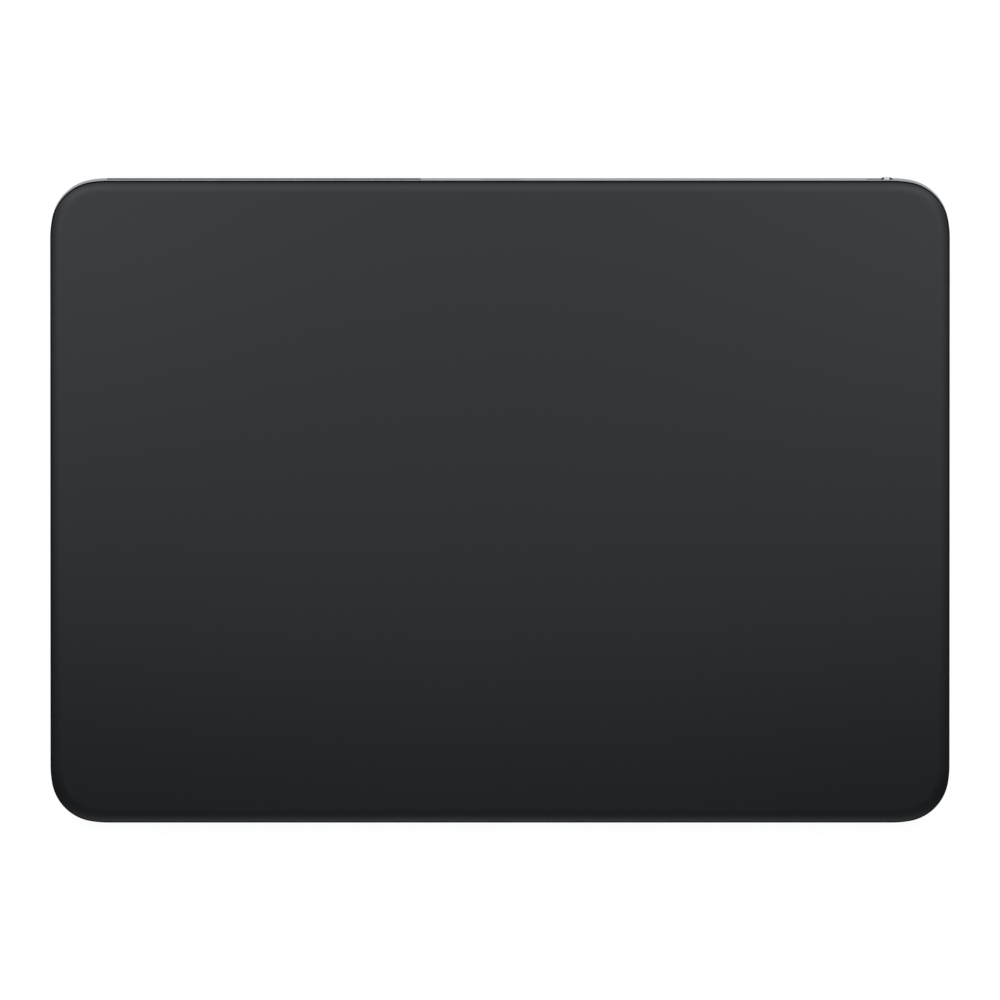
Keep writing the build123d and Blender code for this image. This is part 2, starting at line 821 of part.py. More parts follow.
def make_board_parts():
    """The chips, small parts and connectors on the logic board."""
    middle = sum(board_y) / 2
    chip_x = board_place(main_chip_share)
    radio = block(span(board_place(radio_share), radio_length), span(middle + radio_offset, radio_width),
                  (board_top, board_top + radio_height))
    flex_x = board_place(battery_flex_share)
    power = [
        block(span(board_place(share), power_chip_size), span(middle, power_chip_size),
              (board_top, board_top + power_chip_height))
        for share in power_chip_shares
    ]
    step = board_length * (passive_last_share - passive_first_share) / (passive_count - 1)
    passives = [
        block(span(board_place(passive_first_share) + column * step, passive_width),
              span(connector_y + row * passive_row_pitch, passive_length),
              (board_top, board_top + passive_height))
        for column in range(passive_count) for row in range(passive_rows)
    ]
    over = (board_top, board_top + connector_height)
    under = (base_top + flex_thickness, board_low)
    row_y = span(connector_y, connector_width)
    connectors = [
        block(span(board_place(sensor_flex_share), sensor_flex_width), row_y, over),
        block(span(flex_x, battery_flex_width), row_y, over),
        block(span(haptic_flex_x, haptic_flex_width), row_y, under),
    ]
    return {
        "main_chip": block(span(chip_x, main_chip_size), span(middle, main_chip_size),
                           (board_top, board_top + main_chip_height)),
        "radio_module": fillet(radio.faces().sort_by(Axis.Z)[-1].edges(), radio_edge_radius),
        "power_chips": group(power),
        "board_passives": group(passives),
        "board_connectors": group(connectors),
    }


def small_screws(places, seat, length):
    """Screws that point down, with their heads on a seat at one height."""
    return group([
        screw(x, y, seat, length, board_screw_radius, board_screw_head_radius, board_screw_head_height)
        for x, y in places
    ])


def make_socket():
    """The socket's shell, tongue, contacts and hold-down strap."""
    outer_width, outer_height = socket_width + 2 * socket_wall, socket_height + 2 * socket_wall
    front = socket_front
    back = front - socket_depth
    shell = socket_bar(outer_width, outer_height, (back, front))
    shell -= socket_bar(socket_width, socket_height, (back + socket_wall, front + cut_overrun))
    tongue_front = front - tongue_setback
    tongue = block(span(0, tongue_width), (back + socket_wall, tongue_front),
                   span(socket_middle, tongue_thickness))
    tongue += socket_bar(socket_width - 2 * screw_fit, socket_height - 2 * screw_fit,
                         (back + socket_wall, back + socket_wall + tongue_base_depth))
    contacts = []
    contact_y = (tongue_front - contact_setback - contact_length, tongue_front - contact_setback)
    for column in range(contact_count):
        x = (column - (contact_count - 1) / 2) * contact_pitch
        for side in (-1, 1):
            face = socket_middle + side * tongue_thickness / 2
            contacts.append(block(span(x, contact_width), contact_y,
                                  tuple(sorted((face, face + side * contact_thickness)))))
    inner_play = 2 * strap_gap
    outer_play = 2 * (strap_gap + strap_thickness)
    legs = (board_top, socket_middle)
    strap = socket_bar(outer_width + outer_play, outer_height + outer_play, strap_y)
    strap &= layer(board_top, rear_height)
    strap += block(span(0, outer_width + outer_play), strap_y, legs)
    strap += block(span(0, outer_width + outer_play + 2 * strap_ear), strap_y,
                   (board_top, board_top + strap_thickness))
    past = (strap_y[0] - cut_overrun, strap_y[1] + cut_overrun)
    strap -= socket_bar(outer_width + inner_play, outer_height + inner_play, past)
    strap -= block(span(0, outer_width + inner_play), past, (board_low, socket_middle))
    for x, y in strap_screw_places():
        strap -= rod(x, y, legs, board_screw_radius + screw_play)
    return {
        "socket_shell": shell,
        "socket_tongue": tongue,
        "socket_contacts": group(contacts),
        "socket_strap": strap,
        "strap_screws": small_screws(strap_screw_places(), board_top + strap_thickness,
                                     strap_thickness + board_thickness + board_screw_blind),
    }


def make_switch():
    """The power switch's fixed body and terminals, inside the rear wall."""
    z = (board_top, board_top + switch_height)
    middle = switch_x - switch_travel / 2
    body = block(span(middle, switch_length), switch_y, z)
    channel = switch_travel + slider_length + 2 * slider_play
    body -= block(span(middle, channel), (switch_y[0] + switch_wall, switch_y[1] + cut_overrun),
                  (z[0] + switch_wall, z[1] - switch_wall))
    first = middle - terminal_pitch * (terminal_count - 1) / 2
    terminals = [
        block(span(first + number * terminal_pitch, terminal_width),
              (switch_y[0] - terminal_length, switch_y[0]), (board_top, board_top + terminal_thickness))
        for number in range(terminal_count)
    ]
    return {"switch_body": body, "switch_terminals": group(terminals)}


def make_power_slider():
    """The knob outside the wall and the slider inside the switch, which move as one."""
    left, right = span(switch_x, knob_width)
    crest = half_length + knob_proud
    shoulder = crest - knob_crown
    inner = half_length - knob_depth
    face = make_face([
        Polyline((left, shoulder), (left, inner), (right, inner), (right, shoulder)),
        ThreePointArc((right, shoulder), (switch_x, crest), (left, shoulder)),
    ])
    knob = Pos(0, 0, -knob_depth_middle - knob_height / 2) * extrude(face, knob_height)
    rim = [edge for edge in knob.edges() if edge.center().Y > half_length]
    knob = slope * fillet(rim, knob_edge_radius)
    slider_y = (switch_y[0] + switch_wall + slider_play, switch_y[1] - slider_play)
    neck_end = wall_face_y(switch_middle, knob_depth / 2)
    knob += block(span(switch_x, knob_neck_size), (slider_y[1], neck_end),
                  span(switch_middle, knob_neck_size))
    slider = block(span(switch_x, slider_length), slider_y,
                   span(switch_middle, switch_height - 2 * (switch_wall + slider_play)))
    return {"switch_knob": knob, "switch_slider": slider}


def make_battery():
    """The battery with its adhesive, protection board and flat cable."""
    low = base_top + battery_bond_thickness
    cell = rounded_block(span(0, battery_length), battery_y, (low, low + battery_height),
                         battery_edge_radius)
    bond_y = (battery_y[0] + battery_bond_margin, battery_y[1] - battery_bond_margin)
    bond_x = battery_length / 2 - battery_bond_margin - battery_bond_length / 2
    bonds = [
        block(span(side * bond_x, battery_bond_length), bond_y, (base_top, low)) for side in (-1, 1)
    ]
    flex_x = board_place(battery_flex_share)
    cell_board_y = (battery_y[1] + cell_board_gap, battery_y[1] + cell_board_gap + cell_board_depth)
    flex_low = max(low + cell_board_height, board_top + connector_height) + flex_gap
    return {
        "battery_cell": cell,
        "battery_adhesive": group(bonds),
        "battery_board": block(span(flex_x, cell_board_length), cell_board_y, (low, low + cell_board_height)),
        "battery_flex": block(span(flex_x, battery_flex_width),
                              (cell_board_y[0], connector_y + connector_width / 2),
                              (flex_low, flex_low + flex_thickness)),
    }


def make_haptic_bar():
    """The magnet core with its coils, bracket, screws and flat cable, in front of the battery."""
    core_z = span(core_middle, core_thickness)
    spine_y = (haptic_front + core_pole_length, core_rear)
    core = block(span(0, core_length), spine_y, core_z)
    coils = []
    pitch = (core_length - core_pole_width) / (pole_count - 1)
    coil_y = (haptic_front + coil_end_gap, spine_y[0] - coil_end_gap)
    past = (coil_y[0] - cut_overrun, coil_y[1] + cut_overrun)
    inner = 2 * coil_gap
    outer = 2 * (coil_gap + coil_wall)
    for number in range(pole_count):
        x = (core_pole_width - core_length) / 2 + number * pitch
        core += block(span(x, core_pole_width), (haptic_front, core_rear), core_z)
        coil = block(span(x, core_pole_width + outer), coil_y, span(core_middle, core_thickness + outer))
        coil = fillet(coil.edges().filter_by(Axis.Y), coil_wall)
        coils.append(coil - block(span(x, core_pole_width + inner), past,
                                  span(core_middle, core_thickness + inner)))
    bracket_z = (base_top, base_top + haptic_bracket_thickness)
    ear_reach = haptic_ear_gap + haptic_bracket_ear
    bracket = block(span(0, core_length + 2 * ear_reach), spine_y, bracket_z)
    ear_middle = core_length / 2 + haptic_ear_gap + haptic_bracket_ear / 2
    for side in (-1, 1):
        bracket += block(span(side * ear_middle, haptic_bracket_ear),
                         (core_rear - haptic_bracket_width, core_rear), bracket_z)
    for x, y in haptic_screw_places():
        bracket -= rod(x, y, (base_low, rear_height), board_screw_radius + screw_play)
    run_y = (core_rear + haptic_flex_gap, core_rear + haptic_flex_gap + haptic_flex_width)
    flex_z = (base_top, base_top + flex_thickness)
    corridor = span(haptic_flex_x, haptic_flex_width)
    flex = block((core_length / 2 - haptic_flex_lead, corridor[1]), run_y, flex_z)
    flex += block(corridor, (run_y[0], connector_y + connector_width / 2), flex_z)
    return {
        "haptic_core": core,
        "haptic_coils": group(coils),
        "haptic_bracket": bracket,
        "haptic_screws": small_screws(haptic_screw_places(), bracket_z[1],
                                      haptic_bracket_thickness + haptic_screw_blind),
        "haptic_flex": flex,
    }


def main():
    """Build every piece and write each node's file."""
    pieces = {
        "housing_frame": make_housing_frame(),
        "base_plate": make_base_plate(),
        "base_adhesive": make_base_adhesive(),
        "gel_pads": make_gel_pads(),
        "logic_board": make_logic_board(),
        "board_screws": small_screws(board_boss_places(), board_top,
                                     board_thickness + board_screw_blind),
    }
    for build in (make_feet, make_antenna, make_board_parts, make_socket, make_switch, make_power_slider,
                  make_battery, make_haptic_bar, make_force_carrier, make_touch_plate):
        pieces.update(build())
    os.makedirs("parts", exist_ok=True)
    for name, piece in pieces.items():
        export_step(piece, f"parts/{name}.step")
    print("wrote", len(pieces), "pieces")


if __name__ == "__main__":
    main()
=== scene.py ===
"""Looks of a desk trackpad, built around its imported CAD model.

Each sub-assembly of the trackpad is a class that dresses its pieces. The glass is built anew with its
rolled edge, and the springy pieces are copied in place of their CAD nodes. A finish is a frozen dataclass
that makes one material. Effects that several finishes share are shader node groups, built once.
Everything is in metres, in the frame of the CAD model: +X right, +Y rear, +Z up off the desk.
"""

import logging
import math
from dataclasses import dataclass, field
from enum import Enum

import bpy
from mathutils import Matrix, Vector


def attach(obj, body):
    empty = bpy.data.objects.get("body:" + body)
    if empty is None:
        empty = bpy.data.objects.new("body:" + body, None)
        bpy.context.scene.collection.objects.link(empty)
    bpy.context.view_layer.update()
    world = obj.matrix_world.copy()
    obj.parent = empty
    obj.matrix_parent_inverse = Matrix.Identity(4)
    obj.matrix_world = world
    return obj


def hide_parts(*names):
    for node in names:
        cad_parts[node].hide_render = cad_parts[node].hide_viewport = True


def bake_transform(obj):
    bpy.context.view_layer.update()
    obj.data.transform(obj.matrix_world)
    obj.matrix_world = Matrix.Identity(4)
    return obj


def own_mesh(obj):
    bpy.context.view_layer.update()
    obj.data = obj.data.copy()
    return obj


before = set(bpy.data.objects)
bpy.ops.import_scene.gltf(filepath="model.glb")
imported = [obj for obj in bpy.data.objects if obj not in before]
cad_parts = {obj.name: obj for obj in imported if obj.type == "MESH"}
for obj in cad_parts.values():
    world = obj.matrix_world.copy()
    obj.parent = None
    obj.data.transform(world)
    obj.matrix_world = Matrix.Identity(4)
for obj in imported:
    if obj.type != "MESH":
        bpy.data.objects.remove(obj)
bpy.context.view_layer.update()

log = logging.getLogger("trackpad")

MM = 0.001

Colour = tuple[float, float, float]
Point = tuple[float, float, float]
Span = tuple[float, float]
NodeSocket = bpy.types.NodeSocket

CORNERS = ("front_left", "front_right", "rear_left", "rear_right")

# Steps between the nodes of a tree as it is laid out, and how many stand in a row
NODE_STEP = (220, -260)
NODES_IN_ROW = 9
# The sockets that a Mix node has for colours
MIX_FIRST, MIX_SECOND, MIX_RESULT = 6, 7, 2
# Samples that each look-round for hidden sky and for round edges takes
SKY_SAMPLES = 8
EDGE_SAMPLES = 6


# Node helpers


class Sheet:
    """Lays nodes into one shader tree."""

    def __init__(self, tree: bpy.types.NodeTree) -> None:
        """Keep the tree that the nodes go into."""
        self.tree = tree

    def add(self, kind: str, inputs: dict | None = None, **settings: object) -> bpy.types.Node:
        """Add one node.

        Args:
            kind: The node's type in Blender.
            inputs: Values or other nodes' outputs, by socket name or number.
            settings: The node's own properties.

        Returns:
            The new node.
        """
        node = self.tree.nodes.new(kind)
        row, place = divmod(len(self.tree.nodes), NODES_IN_ROW)
        node.location = (NODE_STEP[0] * place, NODE_STEP[1] * row)
        for name, value in settings.items():
            setattr(node, name, value)
        for key, value in (inputs or {}).items():
            self.feed(node.inputs[key], value)
        return node

    def feed(self, socket: NodeSocket, value: object) -> None:
        """Link an output to a socket, or set the socket's own value.

        Args:
            socket: The input.
            value: Another node's output, or a plain value.
        """
        if isinstance(value, NodeSocket):
            self.tree.links.new(value, socket)
        elif isinstance(value, tuple) and socket.type == "RGBA":
            socket.default_value = (*value, 1.0)
        else:
            socket.default_value = value

    def math(self, operation: str, *values: object, clamp: bool = False) -> NodeSocket:
        """Add a Math node and return its value."""
        return self.add("ShaderNodeMath", dict(enumerate(values)), operation=operation,
                        use_clamp=clamp).outputs[0]

    def vector(self, operation: str, *values: object) -> bpy.types.Node:
        """Add a Vector Math node and return it."""
        return self.add("ShaderNodeVectorMath", dict(enumerate(values)), operation=operation)

    def remap(self, value: object, low: float, high: float, to_low: float = 0.0,
              to_high: float = 1.0) -> NodeSocket:
        """Map a value smoothly from one range to another.

        Args:
            value: The value or output to map.
            low: Where the first range starts.
            high: Where it ends.
            to_low: Where the second range starts.
            to_high: Where it ends.

        Returns:
            The mapped value.
        """
        inputs = {"Value": value, "From Min": low, "From Max": high,
                  "To Min": to_low, "To Max": to_high}
        return self.add("ShaderNodeMapRange", inputs, interpolation_type="SMOOTHSTEP").outputs["Result"]

    def blend(self, share: object, first: object, second: object) -> NodeSocket:
        """Mix two colours.

        Args:
            share: The second colour's share.
            first: A colour or an output.
            second: A colour or an output.

        Returns:
            The mixed colour.
        """
        node = self.add("ShaderNodeMix", {0: share}, data_type="RGBA")
        self.feed(node.inputs[MIX_FIRST], first)
        self.feed(node.inputs[MIX_SECOND], second)
        return node.outputs[MIX_RESULT]

    def place(self) -> NodeSocket:
        """Return the point on the piece, in metres, which moves with it."""
        return self.add("ShaderNodeTexCoord").outputs["Object"]

    def close(self, surface: NodeSocket, kind: str = "ShaderNodeOutputMaterial") -> None:
        """Lead the finished surface to the tree's output."""
        self.add(kind, {"Surface": surface})


def blank_material(name: str) -> tuple[bpy.types.Material, Sheet]:
    """Make a material with an empty tree.

    Args:
        name: The material's name.

    Returns:
        The material, and the sheet that its nodes are laid on.
    """
    made = bpy.data.materials.new(name)
    made.use_nodes = True
    made.node_tree.nodes.clear()
    return made, Sheet(made.node_tree)


def add_object(name: str, data: bpy.types.ID) -> bpy.types.Object:
    """Make an object and put it in the scene.

    Args:
        name: The object's name.
        data: Its mesh or camera.

    Returns:
        The object.
    """
    made = bpy.data.objects.new(name, data)
    bpy.context.scene.collection.objects.link(made)
    return made


# Shared effects


class Effect:
    """An effect that several finishes share, held as one shader node group.

    Attributes:
        title: The group's name.
        takes: Its inputs, each with the value that it starts with.
        gives: Its outputs.
        turn: Where the pattern behind its mask or share turns from none to full.
    """

    title = ""
    takes: dict = {}
    gives: dict = {}
    turn: Span = (0.3, 0.7)

    @classmethod
    def tree(cls) -> bpy.types.NodeTree:
        """Build the effect's node group at the first call.

        Returns:
            The group.
        """
        found = bpy.data.node_groups.get(cls.title)
        if found is not None:
            return found
        tree = bpy.data.node_groups.new(cls.title, "ShaderNodeTree")
        for direction, sockets in (("INPUT", cls.takes), ("OUTPUT", cls.gives)):
            for name, value in sockets.items():
                kind = "NodeSocketFloat" if isinstance(value, float) else "NodeSocketVector"
                if name.endswith("Colour"):
                    kind = "NodeSocketColor"
                socket = tree.interface.new_socket(name=name, in_out=direction, socket_type=kind)
                if direction == "INPUT":
                    socket.default_value = (*value, 1.0) if kind == "NodeSocketColor" else value
        sheet = Sheet(tree)
        given = sheet.add("NodeGroupInput")
        made = cls.build(sheet, given.outputs)
        end = sheet.add("NodeGroupOutput")
        for name, socket in made.items():
            sheet.feed(end.inputs[name], socket)
        return tree

    @classmethod
    def build(cls, sheet: Sheet, given: bpy.types.NodeOutputs) -> dict:
        """Lay out the effect's nodes.

        Args:
            sheet: The group's sheet.
            given: The group's inputs.

        Returns:
            The group's outputs, by name.
        """
        raise NotImplementedError

    @classmethod
    def use(cls, sheet: Sheet, **values: object) -> bpy.types.Node:
        """Place the effect in a material.

        Args:
            sheet: The material's sheet.
            values: The effect's inputs, in small letters with underscores.

        Returns:
            The group node.
        """
        node = sheet.add("ShaderNodeGroup", node_tree=cls.tree())
        for name, value in values.items():
            sheet.feed(node.inputs[name.replace("_", " ").capitalize()], value)
        return node


class Drift(Effect):
    """A slow change between two close colours, as in any real batch or coating."""

    title = "slow_drift"
    takes = {"First colour": (0.5, 0.5, 0.5), "Second colour": (0.4, 0.4, 0.4), "Size": 0.02}
    gives = {"Colour": (0.0, 0.0, 0.0), "Share": 0.0}

    @classmethod
    def build(cls, sheet: Sheet, given: bpy.types.NodeOutputs) -> dict:
        """Blend the two colours by a soft cloud pattern.

        Args:
            sheet: The group's sheet.
            given: The group's inputs.

        Returns:
            The group's outputs, by name.
        """
        scale = sheet.math("DIVIDE", 1.0, given["Size"])
        noise = sheet.add("ShaderNodeTexNoise", {
            "Vector": sheet.place(), "Scale": scale, "Detail": 2.0})
        share = sheet.remap(noise.outputs["Fac"], *cls.turn)
        return {"Share": share,
                "Colour": sheet.blend(share, given["First colour"], given["Second colour"])}


class Grain(Effect):
    """Fine even grain, as bead blasting, etching or a mould's texture leaves."""

    title = "fine_grain"
    takes = {"Size": 0.0002}
    gives = {"Height": 0.0, "Speckle": 0.0}
    turn = (0.35, 0.65)
    cloud_part = 0.6
    dimple_part = 0.4
    dimple_scale = 0.6

    @classmethod
    def build(cls, sheet: Sheet, given: bpy.types.NodeOutputs) -> dict:
        """Mix a cloud pattern with small dimples of the same size.

        Args:
            sheet: The group's sheet.
            given: The group's inputs.

        Returns:
            The group's outputs, by name.
        """
        scale = sheet.math("DIVIDE", 1.0, given["Size"])
        point = sheet.place()
        noise = sheet.add("ShaderNodeTexNoise", {"Vector": point, "Scale": scale, "Detail": 3.0})
        cell_scale = sheet.math("MULTIPLY", scale, cls.dimple_scale)
        cells = sheet.add("ShaderNodeTexVoronoi", {"Vector": point, "Scale": cell_scale})
        height = sheet.math("ADD", sheet.math("MULTIPLY", noise.outputs["Fac"], cls.cloud_part),
                            sheet.math("MULTIPLY", cells.outputs["Distance"], cls.dimple_part))
        return {"Height": height, "Speckle": sheet.remap(height, *cls.turn)}


class Brush(Effect):
    """Fine lines along one direction, as rolling or brushing leaves on sheet metal."""

    title = "brushed_lines"
    takes = {"Size": 0.0001, "Stretch": (1.0, 20.0, 20.0)}
    gives = {"Height": 0.0, "Speckle": 0.0}
    line_scale = 0.05

    @classmethod
    def build(cls, sheet: Sheet, given: bpy.types.NodeOutputs) -> dict:
        """Stretch a cloud pattern until it reads as lines.

        Args:
            sheet: The group's sheet.
            given: The group's inputs.

        Returns:
            The group's outputs, by name.
        """
        point = sheet.vector("MULTIPLY", sheet.place(), given["Stretch"]).outputs[0]
        scale = sheet.math("DIVIDE", cls.line_scale, given["Size"])
        noise = sheet.add("ShaderNodeTexNoise", {"Vector": point, "Scale": scale, "Detail": 4.0})
        height = noise.outputs["Fac"]
        return {"Height": height, "Speckle": sheet.remap(height, *cls.turn)}


class Bands(Effect):
    """Even bands across one direction, such as wire turns, stacked sheets or printed lines."""

    title = "even_bands"
    takes = {"Direction": (0.0, 0.0, 1.0), "Size": 0.0003}
    gives = {"Height": 0.0, "Speckle": 0.0}
    turn = (0.0, 0.5)

    @classmethod
    def build(cls, sheet: Sheet, given: bpy.types.NodeOutputs) -> dict:
        """Turn the distance along the direction into rounded ridges.

        Args:
            sheet: The group's sheet.
            given: The group's inputs.

        Returns:
            The group's outputs, by name.
        """
        along = sheet.vector("DOT_PRODUCT", sheet.place(), given["Direction"]).outputs["Value"]
        turns = sheet.math("MULTIPLY", sheet.math("DIVIDE", along, given["Size"]), 2 * math.pi)
        height = sheet.math("MULTIPLY_ADD", sheet.math("COSINE", turns), 0.5, 0.5)
        return {"Height": height, "Speckle": sheet.remap(height, *cls.turn)}


class Tracks(Effect):
    """Copper tracks and pads under solder mask, as a faint raised maze."""

    title = "board_tracks"
    takes = {"Size": 0.0012}
    gives = {"Height": 0.0, "Speckle": 0.0}
    brick_scale = 0.3
    bricks = {"Mortar Size": 0.03, "Mortar Smooth": 0.4, "Brick Width": 1.9, "Row Height": 0.22}

    @classmethod
    def build(cls, sheet: Sheet, given: bpy.types.NodeOutputs) -> dict:
        """Lay long bricks in two directions and join their gaps.

        Args:
            sheet: The group's sheet.
            given: The group's inputs.

        Returns:
            The group's outputs, by name.
        """
        scale = sheet.math("DIVIDE", cls.brick_scale, given["Size"])
        point = sheet.place()
        turned = sheet.add("ShaderNodeMapping", {"Vector": point, "Rotation": (0.0, 0.0, math.pi / 2)})
        rows = []
        for vector in (point, turned.outputs[0]):
            laid = sheet.add("ShaderNodeTexBrick", {"Vector": vector, "Scale": scale, **cls.bricks})
            rows.append(laid.outputs["Fac"])
        height = sheet.math("MAXIMUM", *rows)
        return {"Height": height, "Speckle": height}


class EdgeShine(Effect):
    """A mask that marks the outer edges, where handling and tumbling polish a piece."""

    title = "edge_shine"
    takes = {"Width": 0.0002}
    gives = {"Mask": 0.0}
    turn = (0.03, 0.3)

    @classmethod
    def build(cls, sheet: Sheet, given: bpy.types.NodeOutputs) -> dict:
        """Compare the true normal with one that is rounded over the width.

        Args:
            sheet: The group's sheet.
            given: The group's inputs.

        Returns:
            The group's outputs, by name.
        """
        rounded = sheet.add("ShaderNodeBevel", {"Radius": given["Width"]}, samples=EDGE_SAMPLES)
        true = sheet.add("ShaderNodeNewGeometry").outputs["Normal"]
        match = sheet.vector("DOT_PRODUCT", rounded.outputs[0], true).outputs["Value"]
        return {"Mask": sheet.remap(sheet.math("SUBTRACT", 1.0, match), *cls.turn)}


class Dust(Effect):
    """Sparse tiny specks, as a little dust leaves on a dark surface."""

    title = "light_dust"
    takes = {"Size": 0.0004, "Amount": 0.1}
    gives = {"Mask": 0.0}
    turn = (0.5, 0.7)
    speck_turn = (0.05, 0.12)
    speck_scale = 0.25
    patch_scale = 40.0

    @classmethod
    def build(cls, sheet: Sheet, given: bpy.types.NodeOutputs) -> dict:
        """Keep the centres of a few scattered cells, more in some places than in others.

        Args:
            sheet: The group's sheet.
            given: The group's inputs.

        Returns:
            The group's outputs, by name.
        """
        point = sheet.place()
        scale = sheet.math("DIVIDE", cls.speck_scale, given["Size"])
        cells = sheet.add("ShaderNodeTexVoronoi", {"Vector": point, "Scale": scale})
        speck = sheet.remap(cells.outputs["Distance"], *cls.speck_turn, 1.0, 0.0)
        patches = sheet.add("ShaderNodeTexNoise", {
            "Vector": point, "Scale": cls.patch_scale, "Detail": 2.0})
        chosen = sheet.remap(patches.outputs["Fac"], *cls.turn)
        mask = sheet.math("MULTIPLY", sheet.math("MULTIPLY", speck, chosen), given["Amount"])
        return {"Mask": mask}


class Cavity(Effect):
    """A mask for painted shade: it marks holes and corners, where less light comes in, and their colour
    is darkened there.
    """

    title = "cavity_painted_shade"
    takes = {"Reach": 0.004}
    gives = {"Mask": 0.0}
    turn = (0.45, 1.0)

    @classmethod
    def build(cls, sheet: Sheet, given: bpy.types.NodeOutputs) -> dict:
        """Measure how much of the sky the piece hides from itself within the reach.

        Args:
            sheet: The group's sheet.
            given: The group's inputs.

        Returns:
            The group's outputs, by name.
        """
        sky = sheet.add("ShaderNodeAmbientOcclusion", {"Distance": given["Reach"]},
                        samples=SKY_SAMPLES, only_local=True)
        return {"Mask": sheet.remap(sky.outputs["AO"], *cls.turn, 1.0, 0.0)}


class Ends(Effect):
    """A mask for painted shade: it marks both ends of a piece, away from its middle along X, where the
    shade at the knob's sides is painted dark.
    """

    title = "painted_shade_ends"
    takes = {"Middle": 0.0, "Half length": 0.0005}
    gives = {"Mask": 0.0}
    turn = (0.95, 1.05)

    @classmethod
    def build(cls, sheet: Sheet, given: bpy.types.NodeOutputs) -> dict:
        """Compare the distance from the middle with the half length.

        Args:
            sheet: The group's sheet.
            given: The group's inputs.

        Returns:
            The group's outputs, by name.
        """
        along = sheet.add("ShaderNodeSeparateXYZ", {0: sheet.place()}).outputs["X"]
        away = sheet.math("ABSOLUTE", sheet.math("SUBTRACT", along, given["Middle"]))
        return {"Mask": sheet.remap(sheet.math("DIVIDE", away, given["Half length"]), *cls.turn)}


# Finishes


class Pattern(Enum):
    """The pattern that a finish's surface carries."""

    GRAIN = Grain
    BRUSH = Brush
    BANDS = Bands
    TRACKS = Tracks


